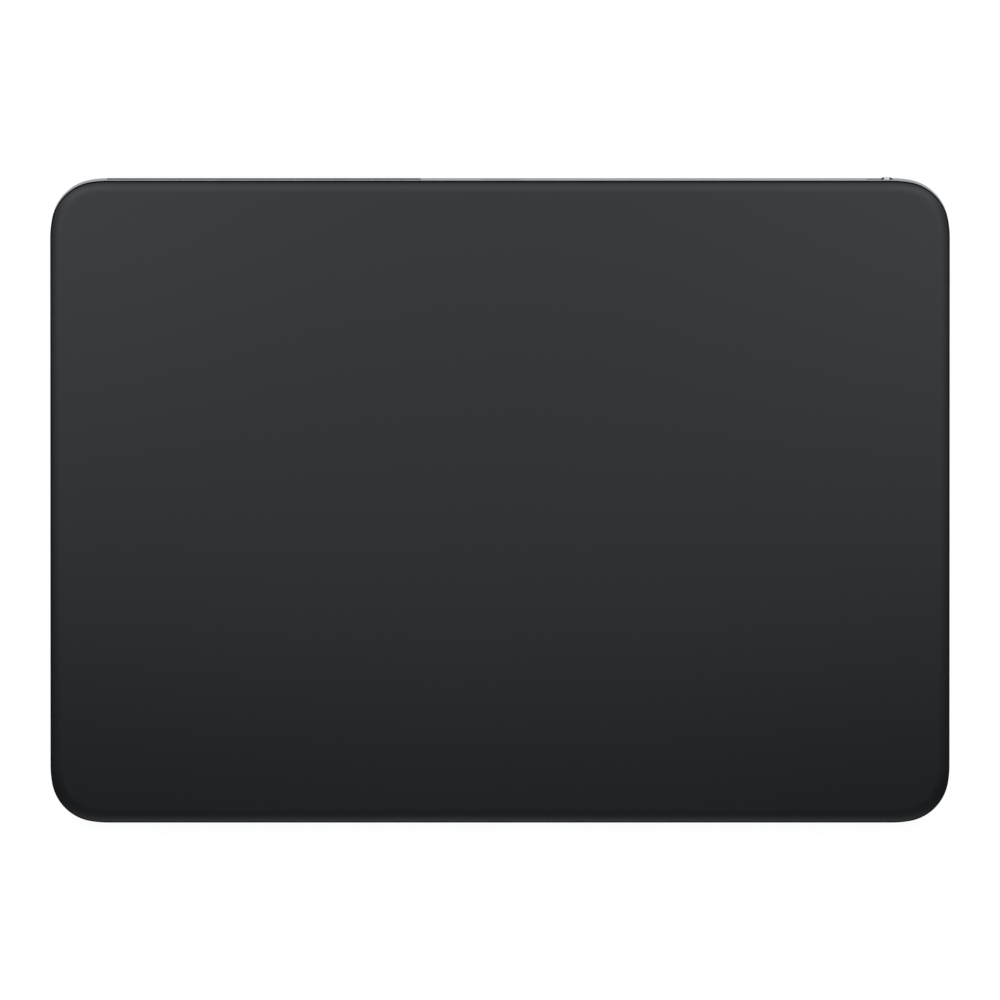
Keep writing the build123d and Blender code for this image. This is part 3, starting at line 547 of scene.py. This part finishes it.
@dataclass(frozen=True)
class Finish:
    """One material: two close colours, a surface pattern and the way the edges catch light.

    Attributes:
        slot: The name of the material slot.
        size: The pattern's size in metres, and depth how far it stands out.
        drift: How far apart the two colours lie on the surface.
        direction: The way that bands follow each other, and stretch the lines of a brushed surface.
        speckle: How much the pattern darkens, and roughness_spread how much it roughens.
        shine: How much the outer edges are worn, over shine_width.
        cavity: How much painted shade darkens holes and corners.
        ends: Middle and half length of the bright stretch of a piece whose ends are painted dark as
            shade.
    """

    worn = (0.92, 0.925, 0.93)
    # The near black of painted shade, in holes and corners and at a knob's ends
    hidden = (0.02, 0.02, 0.02)
    dusty = (0.45, 0.44, 0.42)
    worn_smoothing = -0.5
    dusty_roughening = 0.3

    slot: str
    colour: Colour
    second: Colour
    roughness: float
    metallic: float = 0.0
    pattern: Pattern = Pattern.GRAIN
    size: float = 0.0002
    depth: float = 2e-6
    drift: float = 0.02
    direction: Point = (0.0, 0.0, 1.0)
    stretch: Point = (1.0, 20.0, 20.0)
    speckle: float = 0.05
    roughness_spread: float = 0.05
    shine: float = 0.0
    shine_width: float = 0.0002
    dust: float = 0.0
    cavity: float = 0.0
    ends: Span | None = None
    coat: float = 0.0
    coat_roughness: float = 0.1
    ior: float = 1.5
    specular: float = 0.5
    grazing_tint: Colour = (1.0, 1.0, 1.0)
    transmission: float = 0.0

    def pattern_values(self) -> dict:
        """Gather the values that this finish gives to its pattern's group.

        Returns:
            The values, by input.
        """
        values: dict = {"size": self.size}
        if self.pattern is Pattern.BANDS:
            values["direction"] = self.direction
        if self.pattern is Pattern.BRUSH:
            values["stretch"] = self.stretch
        return values

    def material(self) -> bpy.types.Material:
        """Make the material, or return it if it is there.

        Returns:
            The material, named after its slot.
        """
        name = "look_" + self.slot
        if name in bpy.data.materials:
            return bpy.data.materials[name]
        made, sheet = blank_material(name)
        pattern = self.pattern.value.use(sheet, **self.pattern_values()).outputs
        colour, roughness = self.surface_look(sheet, pattern)
        bump = sheet.add("ShaderNodeBump", {"Height": pattern["Height"], "Distance": self.depth,
                                            "Strength": 1.0})
        surface = sheet.add("ShaderNodeBsdfPrincipled", {
            "Metallic": self.metallic, "IOR": self.ior, "Specular IOR Level": self.specular,
            "Specular Tint": self.grazing_tint, "Coat Weight": self.coat,
            "Coat Roughness": self.coat_roughness, "Transmission Weight": self.transmission,
            "Base Color": colour, "Roughness": roughness, "Normal": bump.outputs[0]})
        sheet.close(surface.outputs[0])
        return made

    def surface_look(self, sheet: Sheet, pattern: bpy.types.NodeOutputs) -> tuple[NodeSocket, NodeSocket]:
        """Lay the nodes for the finish's colour and roughness.

        Args:
            sheet: The sheet of the finish's material.
            pattern: The outputs of the finish's pattern.

        Returns:
            The colour and the roughness.
        """
        drift = Drift.use(sheet, first_colour=self.colour, second_colour=self.second, size=self.drift)
        colour = drift.outputs["Colour"]
        shade = sheet.math("MULTIPLY", pattern["Speckle"], self.speckle)
        colour = sheet.blend(shade, colour, (0.0, 0.0, 0.0))
        roughness = sheet.math("MULTIPLY_ADD", pattern["Speckle"], self.roughness_spread,
                               self.roughness - self.roughness_spread / 2)
        if self.shine:
            mask = EdgeShine.use(sheet, width=self.shine_width).outputs["Mask"]
            mask = sheet.math("MULTIPLY", mask, self.shine)
            colour = sheet.blend(mask, colour, self.worn)
            kept = sheet.math("MULTIPLY_ADD", mask, self.worn_smoothing, 1.0)
            roughness = sheet.math("MULTIPLY", roughness, kept)
        # Painted shade: holes and corners are darkened towards near black where the piece hides its own
        # sky.
        if self.cavity:
            mask = sheet.math("MULTIPLY", Cavity.use(sheet).outputs["Mask"], self.cavity)
            colour = sheet.blend(mask, colour, self.hidden)
        # Painted shade: both ends of the piece are darkened towards near black.
        if self.ends is not None:
            middle, half = self.ends
            mask = Ends.use(sheet, middle=middle, half_length=half).outputs["Mask"]
            colour = sheet.blend(mask, colour, self.hidden)
        if self.dust:
            mask = Dust.use(sheet, amount=self.dust).outputs["Mask"]
            colour = sheet.blend(mask, colour, self.dusty)
            added = sheet.math("MULTIPLY", mask, self.dusty_roughening)
            roughness = sheet.math("ADD", roughness, added, clamp=True)
        return colour, roughness

    def dress(self, *names: str) -> None:
        """Put the finish on CAD nodes.

        Args:
            names: The nodes' names.
        """
        for name in names:
            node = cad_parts[name]
            node.data.materials.clear()
            node.data.materials.append(self.material())
            log.info("%s has the finish %s", name, self.slot)


# Where the knob's bright stretch has its middle, and half its length; beyond it the knob's ends carry
# painted shade
KNOB_STRETCH = (68.8 * MM, 0.5 * MM)

# Finishes of the outside
# The aluminium carries painted shade in its holes and corners, through its cavity value.
ALUMINIUM = Finish("body_aluminium", (0.55, 0.56, 0.58), (0.52, 0.53, 0.55), roughness=0.42,
                   metallic=1.0, grazing_tint=(0.42, 0.43, 0.45), size=0.00012, depth=1.5e-6,
                   speckle=0.05, roughness_spread=0.08, shine=0.35, shine_width=0.00015, cavity=0.9)
KNOB_METAL = Finish("knob_metal", (0.90, 0.91, 0.92), (0.87, 0.88, 0.90), roughness=0.3, metallic=1.0,
                    size=0.0001, depth=1e-6, shine=0.4, shine_width=0.0001, ends=KNOB_STRETCH)
WINDOW_PLASTIC = Finish("window_plastic", (0.235, 0.24, 0.245), (0.22, 0.225, 0.23), roughness=0.7,
                        specular=0.08, size=0.0002, depth=2e-6, speckle=0.06)
FOOT_RUBBER = Finish("foot_rubber", (0.40, 0.405, 0.41), (0.36, 0.365, 0.37), roughness=0.75,
                     size=0.0003, depth=1e-5, speckle=0.1, dust=0.25)
GASKET_RUBBER = Finish("gasket_rubber", (0.012, 0.012, 0.012), (0.016, 0.016, 0.016), roughness=0.8,
                       size=0.0002, depth=5e-6)
GLASS_TOP = Finish("black_glass", (0.0070, 0.0075, 0.0084), (0.0064, 0.0069, 0.0078), roughness=0.22,
                   size=0.00008, depth=1e-7, speckle=0.05, roughness_spread=0.02, drift=0.05)
# The ground edge is black with its reflection held almost to none: partly the glass's own matte edge,
# partly painted shade for the gap round the glass.
GLASS_EDGE = Finish("ground_glass_edge", (0.004, 0.004, 0.0045), (0.0035, 0.0035, 0.004), roughness=0.7,
                    size=0.00006, depth=1e-6, specular=0.03)

# Finishes of the inside
GEL = Finish("gel", (0.42, 0.47, 0.53), (0.38, 0.43, 0.5), roughness=0.35, size=0.0006, depth=1e-5,
             transmission=0.3, ior=1.41)
ADHESIVE = Finish("adhesive_film", (0.03, 0.03, 0.033), (0.02, 0.02, 0.022), roughness=0.3,
                  size=0.0008, depth=5e-6)
STEEL_SHEET = Finish("steel_sheet", (0.56, 0.56, 0.555), (0.5, 0.5, 0.5), roughness=0.33, metallic=1.0,
                     pattern=Pattern.BRUSH, size=0.0001, depth=2e-6, speckle=0.12,
                     roughness_spread=0.12, shine=0.3)
SOCKET_STEEL = Finish("socket_steel", (0.5, 0.5, 0.49), (0.44, 0.44, 0.43), roughness=0.25,
                      metallic=1.0, pattern=Pattern.BRUSH, stretch=(20.0, 1.0, 20.0), size=0.0001,
                      depth=1e-6, speckle=0.1, shine=0.3, shine_width=0.0001)
MAGNET_STEEL = Finish("magnet_steel", (0.3, 0.3, 0.31), (0.24, 0.24, 0.25), roughness=0.45,
                      metallic=1.0, pattern=Pattern.BANDS, size=0.00035, depth=2e-5, speckle=0.3)
SCREW_STEEL = Finish("screw_steel", (0.42, 0.42, 0.425), (0.36, 0.36, 0.37), roughness=0.3,
                     metallic=1.0, size=0.0002, depth=2e-6, shine=0.5, shine_width=0.0001)
COIL_COPPER = Finish("coil_copper", (0.62, 0.24, 0.1), (0.52, 0.18, 0.07), roughness=0.28,
                     metallic=1.0, pattern=Pattern.BANDS, direction=(0.0, 1.0, 0.0), size=0.00014,
                     depth=4e-5, speckle=0.35, coat=0.6)
GOLD = Finish("gold_contact", (0.83, 0.58, 0.22), (0.76, 0.52, 0.19), roughness=0.22, metallic=1.0,
              pattern=Pattern.BRUSH, stretch=(20.0, 1.0, 20.0), size=0.0001, depth=5e-7)
LAMINATE = Finish("board_laminate", (0.008, 0.03, 0.018), (0.007, 0.024, 0.015), roughness=0.35,
                  pattern=Pattern.TRACKS, size=0.0012, depth=2e-5, speckle=-0.12, coat=0.3)
CHIP_BLACK = Finish("chip_black", (0.018, 0.018, 0.019), (0.014, 0.014, 0.015), roughness=0.55,
                    size=0.00015, depth=4e-6, speckle=0.15, shine=0.05, shine_width=0.0001)
SHIELD_STEEL = Finish("shield_steel", (0.6, 0.6, 0.585), (0.54, 0.54, 0.53), roughness=0.36,
                      metallic=1.0, pattern=Pattern.BRUSH, size=0.00015, depth=2e-6, speckle=0.12,
                      shine=0.2)
CERAMIC = Finish("small_parts", (0.34, 0.24, 0.13), (0.26, 0.18, 0.1), roughness=0.5, size=0.0002,
                 depth=4e-6, speckle=0.2)
NYLON = Finish("black_nylon", (0.022, 0.022, 0.023), (0.017, 0.017, 0.018), roughness=0.5,
               size=0.00025, depth=6e-6, speckle=0.15, shine=0.06, shine_width=0.0001)
ANTENNA_COPPER = Finish("antenna_copper", (0.6, 0.27, 0.12), (0.5, 0.22, 0.1), roughness=0.3,
                        metallic=1.0, pattern=Pattern.TRACKS, size=0.002, depth=1e-5, speckle=0.3)
CABLE_JACKET = Finish("cable_jacket", (0.045, 0.045, 0.048), (0.035, 0.035, 0.038), roughness=0.35,
                      size=0.0004, depth=3e-6, coat=0.2)
FLAT_CABLE = Finish("flat_cable", (0.3, 0.12, 0.018), (0.24, 0.095, 0.014), roughness=0.25,
                    pattern=Pattern.BANDS, direction=(1.0, 0.0, 0.0), size=0.0005, depth=8e-6,
                    speckle=0.3, coat=0.4)
GAUGE_FILM = Finish("gauge_film", (0.5, 0.29, 0.07), (0.42, 0.24, 0.06), roughness=0.3,
                    pattern=Pattern.BANDS, direction=(1.0, 0.0, 0.0), size=0.0003, depth=6e-6,
                    speckle=0.4, coat=0.3)
CELL_POUCH = Finish("cell_pouch", (0.05, 0.05, 0.052), (0.04, 0.04, 0.042), roughness=0.45,
                    size=0.0009, depth=3e-5, speckle=0.2, coat=0.15, coat_roughness=0.4)


# The trackpad


@dataclass
class Slope:
    """The plane of the glass top, which leans up towards the rear."""

    rise: float = 6.1 * MM
    length: float = 114.4 * MM
    rear_height: float = 11.0 * MM
    foot_height: float = 0.6 * MM

    @property
    def angle(self) -> float:
        """The lean of the glass."""
        return math.asin(self.rise / self.length)

    def matrix(self) -> Matrix:
        """Place the slope's own frame, with its origin in the middle of the glass top.

        Returns:
            The matrix from that frame to the desk's.
        """
        shift = -(self.rear_height - self.foot_height) * math.tan(self.angle) / 2
        height = self.rear_height - self.rise / 2
        return Matrix.Translation((0, shift, height)) @ Matrix.Rotation(self.angle, 4, "X")


def bending_copy(name: str, finish: Finish) -> bpy.types.Object:
    """Copy a springy CAD node into a piece that may bend, and that stands for the node.

    Args:
        name: The CAD node.
        finish: The finish that the copy gets.

    Returns:
        The copy, which rides on nothing yet.
    """
    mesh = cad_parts[name].data.copy()
    mesh.materials.clear()
    mesh.materials.append(finish.material())
    piece = add_object("bending_" + name, mesh)
    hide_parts(name)
    log.info("%s stands for %s", piece.name, name)
    return piece


@dataclass
class CornerCurve:
    """The outline of the body. Each corner is three arcs, the middle one tighter."""

    half_width: float = 80.0 * MM
    half_length: float = 57.2 * MM
    end_radius: float = 18.0 * MM
    middle_radius: float = 8.4 * MM
    blend_angle: float = math.radians(10.0)
    end_steps: int = 5
    middle_steps: int = 26

    def loop(self) -> list[tuple[Vector, Vector]]:
        """Walk round the outline once.

        Returns:
            For each place its point and its outward direction.
        """
        step = self.end_radius - self.middle_radius
        reach = self.end_radius - step * (math.cos(self.blend_angle) - math.sin(self.blend_angle))
        flat_x, flat_y = self.half_width - reach, self.half_length - reach
        starts = ((flat_x, -self.half_length), (self.half_width, flat_y), (-flat_x, self.half_length),
                  (-self.half_width, -flat_y))
        arcs = ((self.end_radius, self.blend_angle, self.end_steps),
                (self.middle_radius, math.pi / 2 - 2 * self.blend_angle, self.middle_steps),
                (self.end_radius, self.blend_angle, self.end_steps))
        places = []
        for corner, start in enumerate(starts):
            turn = (corner - 1) * math.pi / 2
            point = Vector((*start, 0.0))
            for arc, (radius, angle, steps) in enumerate(arcs):
                centre = point - radius * Vector((math.cos(turn), math.sin(turn), 0.0))
                for number in range(min(arc, 1), steps + 1):
                    heading = turn + angle * number / steps
                    outward = Vector((math.cos(heading), math.sin(heading), 0.0))
                    places.append((centre + radius * outward, outward))
                turn += angle
                point = centre + radius * Vector((math.cos(turn), math.sin(turn), 0.0))
        return places


@dataclass
class TouchPlate:
    """The black glass and all that moves with it."""

    slope: Slope = field(default_factory=Slope)
    outline: CornerCurve = field(default_factory=CornerCurve)
    thickness: float = 1.1 * MM
    roll_radius: float = 7.0 * MM
    roll_angle: float = math.radians(18.0)
    nose_radius: float = 0.3 * MM
    foot_radius: float = 0.12 * MM
    roll_steps: int = 18
    nose_steps: int = 8
    foot_steps: int = 5
    top_margin: float = 0.6 * MM
    press_travel: float = 0.15 * MM

    def profile(self) -> list[tuple[float, float, float]]:
        """Return the edge's section, from the flat top over the roll and the nose to the underside.

        Returns:
            For each ring its distance inside the outline, its depth under the top, and how far its
            normal leans out from straight up.
        """
        lean = math.sin(self.roll_angle)
        reach = self.roll_radius * lean + self.nose_radius * (1 - lean)
        nose_depth = (self.roll_radius * (1 - math.cos(self.roll_angle))
                      + self.nose_radius * math.cos(self.roll_angle))
        rings = [(reach + self.top_margin, 0.0, 0.0)]
        for number in range(self.roll_steps + 1):
            angle = self.roll_angle * number / self.roll_steps
            rings.append((reach - self.roll_radius * math.sin(angle),
                          self.roll_radius * (1 - math.cos(angle)), angle))
        for number in range(1, self.nose_steps + 1):
            angle = self.roll_angle + (math.pi / 2 - self.roll_angle) * number / self.nose_steps
            rings.append((self.nose_radius * (1 - math.sin(angle)),
                          nose_depth - self.nose_radius * math.cos(angle), angle))
        for number in range(self.foot_steps + 1):
            angle = math.pi / 2 * (1 + number / self.foot_steps)
            rings.append((self.foot_radius * (1 - math.sin(angle)),
                          self.thickness - self.foot_radius * (1 + math.cos(angle)), angle))
        rings.append((self.foot_radius + self.top_margin, self.thickness, math.pi))
        return rings

    def glass_mesh(self) -> bpy.types.Mesh:
        """Lay rings round the outline, and close them by a flat top and underside.

        Returns:
            The glass's mesh, with the ground edge and underside in its second material slot.
        """
        places = self.outline.loop()
        rings = self.profile()
        points, normals, faces, edge_marks = [], [], [], []
        for inset, depth, lean in rings:
            for point, outward in places:
                points.append(point - inset * outward - Vector((0, 0, depth)))
                normals.append(outward * math.sin(lean) + Vector((0, 0, math.cos(lean))))
        count = len(places)
        for ring in range(len(rings) - 1):
            # Faces past the roll take the ground edge's material, which is partly painted shade.
            ground = ring > self.roll_steps
            for number in range(count):
                following = (number + 1) % count
                here, there = ring * count, (ring + 1) * count
                faces.append((here + number, there + number, there + following, here + following))
                edge_marks.append(int(ground))
        faces.append(tuple(range(count)))
        faces.append(tuple(reversed(range((len(rings) - 1) * count, len(rings) * count))))
        edge_marks += [0, 1]
        mesh = bpy.data.meshes.new("touch_glass_plate")
        mesh.from_pydata(points, [], faces)
        mesh.update()
        for face, mark in zip(mesh.polygons, edge_marks):
            face.use_smooth = True
            face.material_index = mark
        mesh.normals_split_custom_set_from_vertices([tuple(normal) for normal in normals])
        mesh.transform(self.slope.matrix())
        return mesh

    def build_glass(self) -> None:
        """Build the glass plate in place of its CAD node."""
        mesh = self.glass_mesh()
        glass = add_object("touch_glass_plate", mesh)
        mesh.materials.append(GLASS_TOP.material())
        mesh.materials.append(GLASS_EDGE.material())
        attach(glass, "touch_plate")
        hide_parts("touch_glass")
        log.info("%s is built of %d faces", glass.name, len(mesh.polygons))

    def fold_flex(self) -> None:
        """Copy the sensor's flat cable in place of its CAD node, and let it ride on the touch plate."""
        flex = bending_copy("sensor_flex", FLAT_CABLE)
        up = self.slope.matrix().to_3x3() @ Vector((0.0, 0.0, 1.0))
        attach(flex, "touch_plate")
        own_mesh(flex)

    def dress(self) -> None:
        """Build the glass and finish the pieces under it."""
        self.build_glass()
        self.fold_flex()
        GASKET_RUBBER.dress("edge_gasket")
        ADHESIVE.dress("glass_adhesive")
        LAMINATE.dress("sensor_board")
        CHIP_BLACK.dress("touch_chips")
        STEEL_SHEET.dress("plate_stiffener", "beam_spacers")
        MAGNET_STEEL.dress("attraction_plate")
        SCREW_STEEL.dress("attraction_screws", "beam_screws")


@dataclass
class ForceCarrier:
    """The four steel beams that carry the plate, with their gauges and gel pads."""

    waist_length: float = 6.0 * MM

    def bend_beam(self, corner: str) -> None:
        """Copy a beam in place of its CAD node, with its placement baked into its mesh.

        Args:
            corner: The corner that the beam is in.
        """
        name = "force_beam_" + corner
        beam = bending_copy(name, STEEL_SHEET)
        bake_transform(beam)

    def dress(self) -> None:
        """Build the beams and finish the gauges and pads."""
        for corner in CORNERS:
            self.bend_beam(corner)
        GAUGE_FILM.dress("strain_gauges")
        GEL.dress("gel_pads")


@dataclass
class Housing:
    """The aluminium wall and base plate with their feet and bonds."""

    def dress(self) -> None:
        """Finish the body's outside."""
        ALUMINIUM.dress("housing_frame", "base_plate")
        FOOT_RUBBER.dress(*("foot_" + corner for corner in CORNERS))
        ADHESIVE.dress("base_adhesive")


@dataclass
class Antenna:
    """The grey window in the rear wall and the antenna behind it."""

    def dress(self) -> None:
        """Finish the window and the antenna."""
        WINDOW_PLASTIC.dress("antenna_window")
        NYLON.dress("antenna_carrier")
        ANTENNA_COPPER.dress("antenna_strip")
        CABLE_JACKET.dress("antenna_cable")


@dataclass
class PowerSwitch:
    """The switch in the rear wall, with its knob outside."""

    def dress(self) -> None:
        """Finish the knob, its slider and the switch."""
        KNOB_METAL.dress("switch_knob")
        NYLON.dress("switch_body", "switch_slider")
        GOLD.dress("switch_terminals")


@dataclass
class Socket:
    """The charging socket in the middle of the rear wall."""

    def dress(self) -> None:
        """Finish the socket's shell, tongue, contacts and strap."""
        SOCKET_STEEL.dress("socket_shell")
        NYLON.dress("socket_tongue")
        GOLD.dress("socket_contacts")
        STEEL_SHEET.dress("socket_strap")
        SCREW_STEEL.dress("strap_screws")


@dataclass
class LogicBoard:
    """The board behind the rear wall and what is soldered to it."""

    def dress(self) -> None:
        """Finish the board and its parts."""
        LAMINATE.dress("logic_board")
        CHIP_BLACK.dress("main_chip", "power_chips")
        SHIELD_STEEL.dress("radio_module")
        CERAMIC.dress("board_passives")
        NYLON.dress("board_connectors")
        SCREW_STEEL.dress("board_screws")


@dataclass
class Battery:
    """The battery with its bonds, protection board and flat cable."""

    def dress(self) -> None:
        """Finish the battery."""
        CELL_POUCH.dress("battery_cell")
        ADHESIVE.dress("battery_adhesive")
        LAMINATE.dress("battery_board")
        FLAT_CABLE.dress("battery_flex")


@dataclass
class HapticBar:
    """The magnet bar that shakes the plate."""

    def dress(self) -> None:
        """Finish the core, coils, bracket and cable."""
        MAGNET_STEEL.dress("haptic_core")
        COIL_COPPER.dress("haptic_coils")
        STEEL_SHEET.dress("haptic_bracket")
        SCREW_STEEL.dress("haptic_screws")
        FLAT_CABLE.dress("haptic_flex")


# The studio


@dataclass(frozen=True)
class PanelChange:
    """A change of the panel's light towards its sides.

    Attributes:
        reach: How far from the middle it starts, and where it is full.
        turn: The two places from front to rear between which it goes from one gain to the other.
        gain: The share of light that it adds at each of those places.
    """

    reach: Span
    turn: Span
    gain: Span


@dataclass
class Studio:
    """The floor, the lights and the camera of a product photograph."""

    floor_size: float = 10.0
    floor_colour: Colour = (0.8, 0.8, 0.8)
    floor_second: Colour = (0.776, 0.776, 0.776)
    floor_drift: float = 0.5
    floor_glow: float = 0.87
    floor_shadow: Colour = (0.3, 0.3, 0.3)
    # Reach and range of the floor's painted contact shadow
    contact_reach: float = 0.006
    contact_range: Span = (0.05, 0.42)
    world_level: float = 0.45
    world_colour: Colour = (0.97, 0.985, 1.0)
    backdrop_rise: Span = (0.0, 0.12)
    ceiling_level: float = 0.14
    panel_height: float = 0.30
    panel_x: float = 0.564
    panel_y: Span = (-0.334, 0.55)
    panel_colour: Colour = (0.945, 0.985, 1.055)
    # The overhead panel's light from the front to the rear: a place in metres, then the level there
    panel_levels: tuple[Span, ...] = (
        (-0.334, 2.05), (-0.305, 1.22), (-0.260, 0.60), (-0.180, 0.23), (-0.105, 0.18),
        (-0.090, 0.12), (-0.080, 0.28), (-0.065, 0.56), (-0.030, 0.76), (0.000, 0.83), (0.010, 0.86),
        (0.022, 1.12), (0.045, 0.90), (0.130, 1.45), (0.190, 0.75), (0.260, 0.35), (0.550, 0.45),
    )
    panel_changes: tuple[PanelChange, ...] = (
        PanelChange((0.015, 0.09), (-0.088, 0.012), (-0.25, 0.25)),
        PanelChange((0.09, 0.20), (-0.090, 0.040), (-0.15, 0.10)),
        PanelChange((0.155, 0.225), (-0.020, 0.050), (-0.30, -0.50)),
    )
    camera_lens: float = 1600.0
    camera_sensor: float = 36.0
    camera_nearest: float = 0.1
    picture_width: float = 0.177884
    picture_middle: Point = (0.0, 0.000085, 0.008)
    rear_edge: float = 0.057

    def floor_material(self) -> bpy.types.Material:
        """Make the pale floor: white to the camera and in reflections, with the object's shadow, partly
        cast by the lights and partly painted shadow where the glow that the camera sees is dimmed close
        by and under the object.

        Returns:
            The floor's material.
        """
        made, sheet = blank_material("studio_floor")
        made.cycles.emission_sampling = "NONE"
        drift = Drift.use(sheet, first_colour=self.floor_colour, second_colour=self.floor_second,
                          size=self.floor_drift)
        paper = sheet.add("ShaderNodeBsdfDiffuse", {"Color": drift.outputs["Colour"]})
        shade = sheet.add("ShaderNodeBsdfDiffuse", {"Color": self.floor_shadow})
        # Painted shadow: for the camera the floor's glow is dimmed where the object hides the sky within
        # the contact reach.
        open_sky = sheet.add("ShaderNodeAmbientOcclusion", {"Distance": self.contact_reach},
                             samples=SKY_SAMPLES)
        glow_outside_painted_shadow = sheet.remap(open_sky.outputs["AO"], *self.contact_range)
        camera_ray = sheet.add("ShaderNodeLightPath").outputs["Is Camera Ray"]
        unseen = sheet.math("SUBTRACT", 1.0, camera_ray)
        strength = sheet.math("MULTIPLY", sheet.math("MAXIMUM", glow_outside_painted_shadow, unseen), self.floor_glow)
        glow = sheet.add("ShaderNodeEmission", {"Color": (1.0, 1.0, 1.0), "Strength": strength})
        both = sheet.add("ShaderNodeAddShader", {0: shade.outputs[0], 1: glow.outputs[0]})
        seen = self.seen_as_background(sheet)
        mixed = sheet.add("ShaderNodeMixShader", {0: seen, 1: paper.outputs[0], 2: both.outputs[0]})
        clear = sheet.add("ShaderNodeBsdfTransparent")
        back = sheet.add("ShaderNodeNewGeometry").outputs["Backfacing"]
        sided = sheet.add("ShaderNodeMixShader", {0: back, 1: mixed.outputs[0], 2: clear.outputs[0]})
        sheet.close(sided.outputs[0])
        return made

    def seen_as_background(self, sheet: Sheet) -> NodeSocket:
        """Pick the rays that show the background: camera, glossy and transmission.

        Args:
            sheet: The sheet of the floor or the world.

        Returns:
            A value that is 1 for those rays, and otherwise 0.
        """
        path = sheet.add("ShaderNodeLightPath").outputs
        mirrored = sheet.math("MAXIMUM", path["Is Glossy Ray"], path["Is Transmission Ray"])
        return sheet.math("MAXIMUM", path["Is Camera Ray"], mirrored)

    def lay_floor(self) -> None:
        """Lay the floor under the feet."""
        half = self.floor_size / 2
        mesh = bpy.data.meshes.new("studio_floor")
        mesh.from_pydata([(-half, -half, 0), (half, -half, 0), (half, half, 0), (-half, half, 0)], [],
                         [(0, 1, 2, 3)])
        mesh.materials.append(self.floor_material())
        add_object("studio_floor", mesh)

    def panel_material(self) -> bpy.types.Material:
        """Make the overhead panel's light, graded from the front to the rear.

        Returns:
            The panel's material.
        """
        made, sheet = blank_material("studio_panel")
        parts = sheet.add("ShaderNodeSeparateXYZ", {0: sheet.place()}).outputs
        front, rear = self.panel_y
        top_level = max(level for _, level in self.panel_levels)
        share = sheet.math("DIVIDE", sheet.math("SUBTRACT", parts["Y"], front), rear - front)
        curve = sheet.add("ShaderNodeFloatCurve", {"Value": share})
        points = curve.mapping.curves[0].points
        spots = [((y - front) / (rear - front), level / top_level) for y, level in self.panel_levels]
        points[0].location, points[1].location = spots[0], spots[-1]
        for spot in spots[1:-1]:
            points.new(*spot)
        curve.mapping.update()
        level = sheet.math("MULTIPLY", curve.outputs[0], top_level)
        side = sheet.math("ABSOLUTE", parts["X"])
        for change in self.panel_changes:
            gain = sheet.remap(parts["Y"], *change.turn, *change.gain)
            gain = sheet.math("MULTIPLY", gain, sheet.remap(side, *change.reach))
            level = sheet.math("MULTIPLY", level, sheet.math("ADD", gain, 1.0))
        light = sheet.add("ShaderNodeEmission", {"Color": self.panel_colour, "Strength": level})
        sheet.close(light.outputs[0])
        return made

    def hang_panel(self) -> None:
        """Hang the overhead light panel, which the camera doesn't see."""
        half = self.panel_x / 2
        front, rear = self.panel_y
        height = self.panel_height
        mesh = bpy.data.meshes.new("studio_panel")
        mesh.from_pydata([(-half, front, height), (-half, rear, height), (half, rear, height),
                          (half, front, height)], [], [(0, 1, 2, 3)])
        mesh.materials.append(self.panel_material())
        panel = add_object("studio_panel", mesh)
        panel.visible_camera = False
        panel.visible_shadow = False

    def set_world(self) -> None:
        """Light the scene evenly from all round, and show a white backdrop behind the object.

        In reflections the backdrop is as white as to the camera, and fades into a dim ceiling.
        """
        world = bpy.data.worlds.new("studio_world")
        bpy.context.scene.world = world
        world.use_nodes = True
        world.node_tree.nodes.clear()
        sheet = Sheet(world.node_tree)
        soft = sheet.add("ShaderNodeBackground", {
            "Color": self.world_colour, "Strength": self.world_level})
        heading = sheet.add("ShaderNodeTexCoord").outputs["Generated"]
        rise = sheet.add("ShaderNodeSeparateXYZ", {0: heading}).outputs["Z"]
        ceiling = sheet.remap(rise, *self.backdrop_rise, 1.0, self.ceiling_level)
        camera_ray = sheet.add("ShaderNodeLightPath").outputs["Is Camera Ray"]
        level = sheet.math("MAXIMUM", ceiling, camera_ray)
        white = sheet.add("ShaderNodeBackground", {"Color": (1.0, 1.0, 1.0), "Strength": level})
        seen = self.seen_as_background(sheet)
        mixed = sheet.add("ShaderNodeMixShader", {0: seen, 1: soft.outputs[0], 2: white.outputs[0]})
        sheet.close(mixed.outputs[0], "ShaderNodeOutputWorld")

    def set_camera(self) -> None:
        """Look down with a very long lens, from far enough back to see the rear wall."""
        data = bpy.data.cameras.new("studio_camera")
        data.lens = self.camera_lens
        data.sensor_width = self.camera_sensor
        distance = self.picture_width * self.camera_lens / self.camera_sensor
        data.clip_start, data.clip_end = self.camera_nearest, 2 * distance
        camera = add_object("studio_camera", data)
        middle = Vector(self.picture_middle)
        camera.location = middle + Vector((0.0, self.rear_edge, distance))
        camera.rotation_euler = (math.atan2(-self.rear_edge, distance), 0.0, 0.0)
        bpy.context.scene.camera = camera

    def build(self) -> None:
        """Set up the whole studio."""
        self.lay_floor()
        self.hang_panel()
        self.set_world()
        self.set_camera()
        bpy.context.scene.view_settings.view_transform = "Standard"
        log.info("the studio is set up")


def main() -> None:
    """Dress each sub-assembly and set up the studio."""
    logging.basicConfig(level=logging.INFO, format="%(name)s: %(message)s")
    for part in (Housing(), Antenna(), PowerSwitch(), Socket(), LogicBoard(), Battery(), HapticBar(),
                 ForceCarrier(), TouchPlate()):
        part.dress()
    Studio().build()


if __name__ == "__main__":
    main()
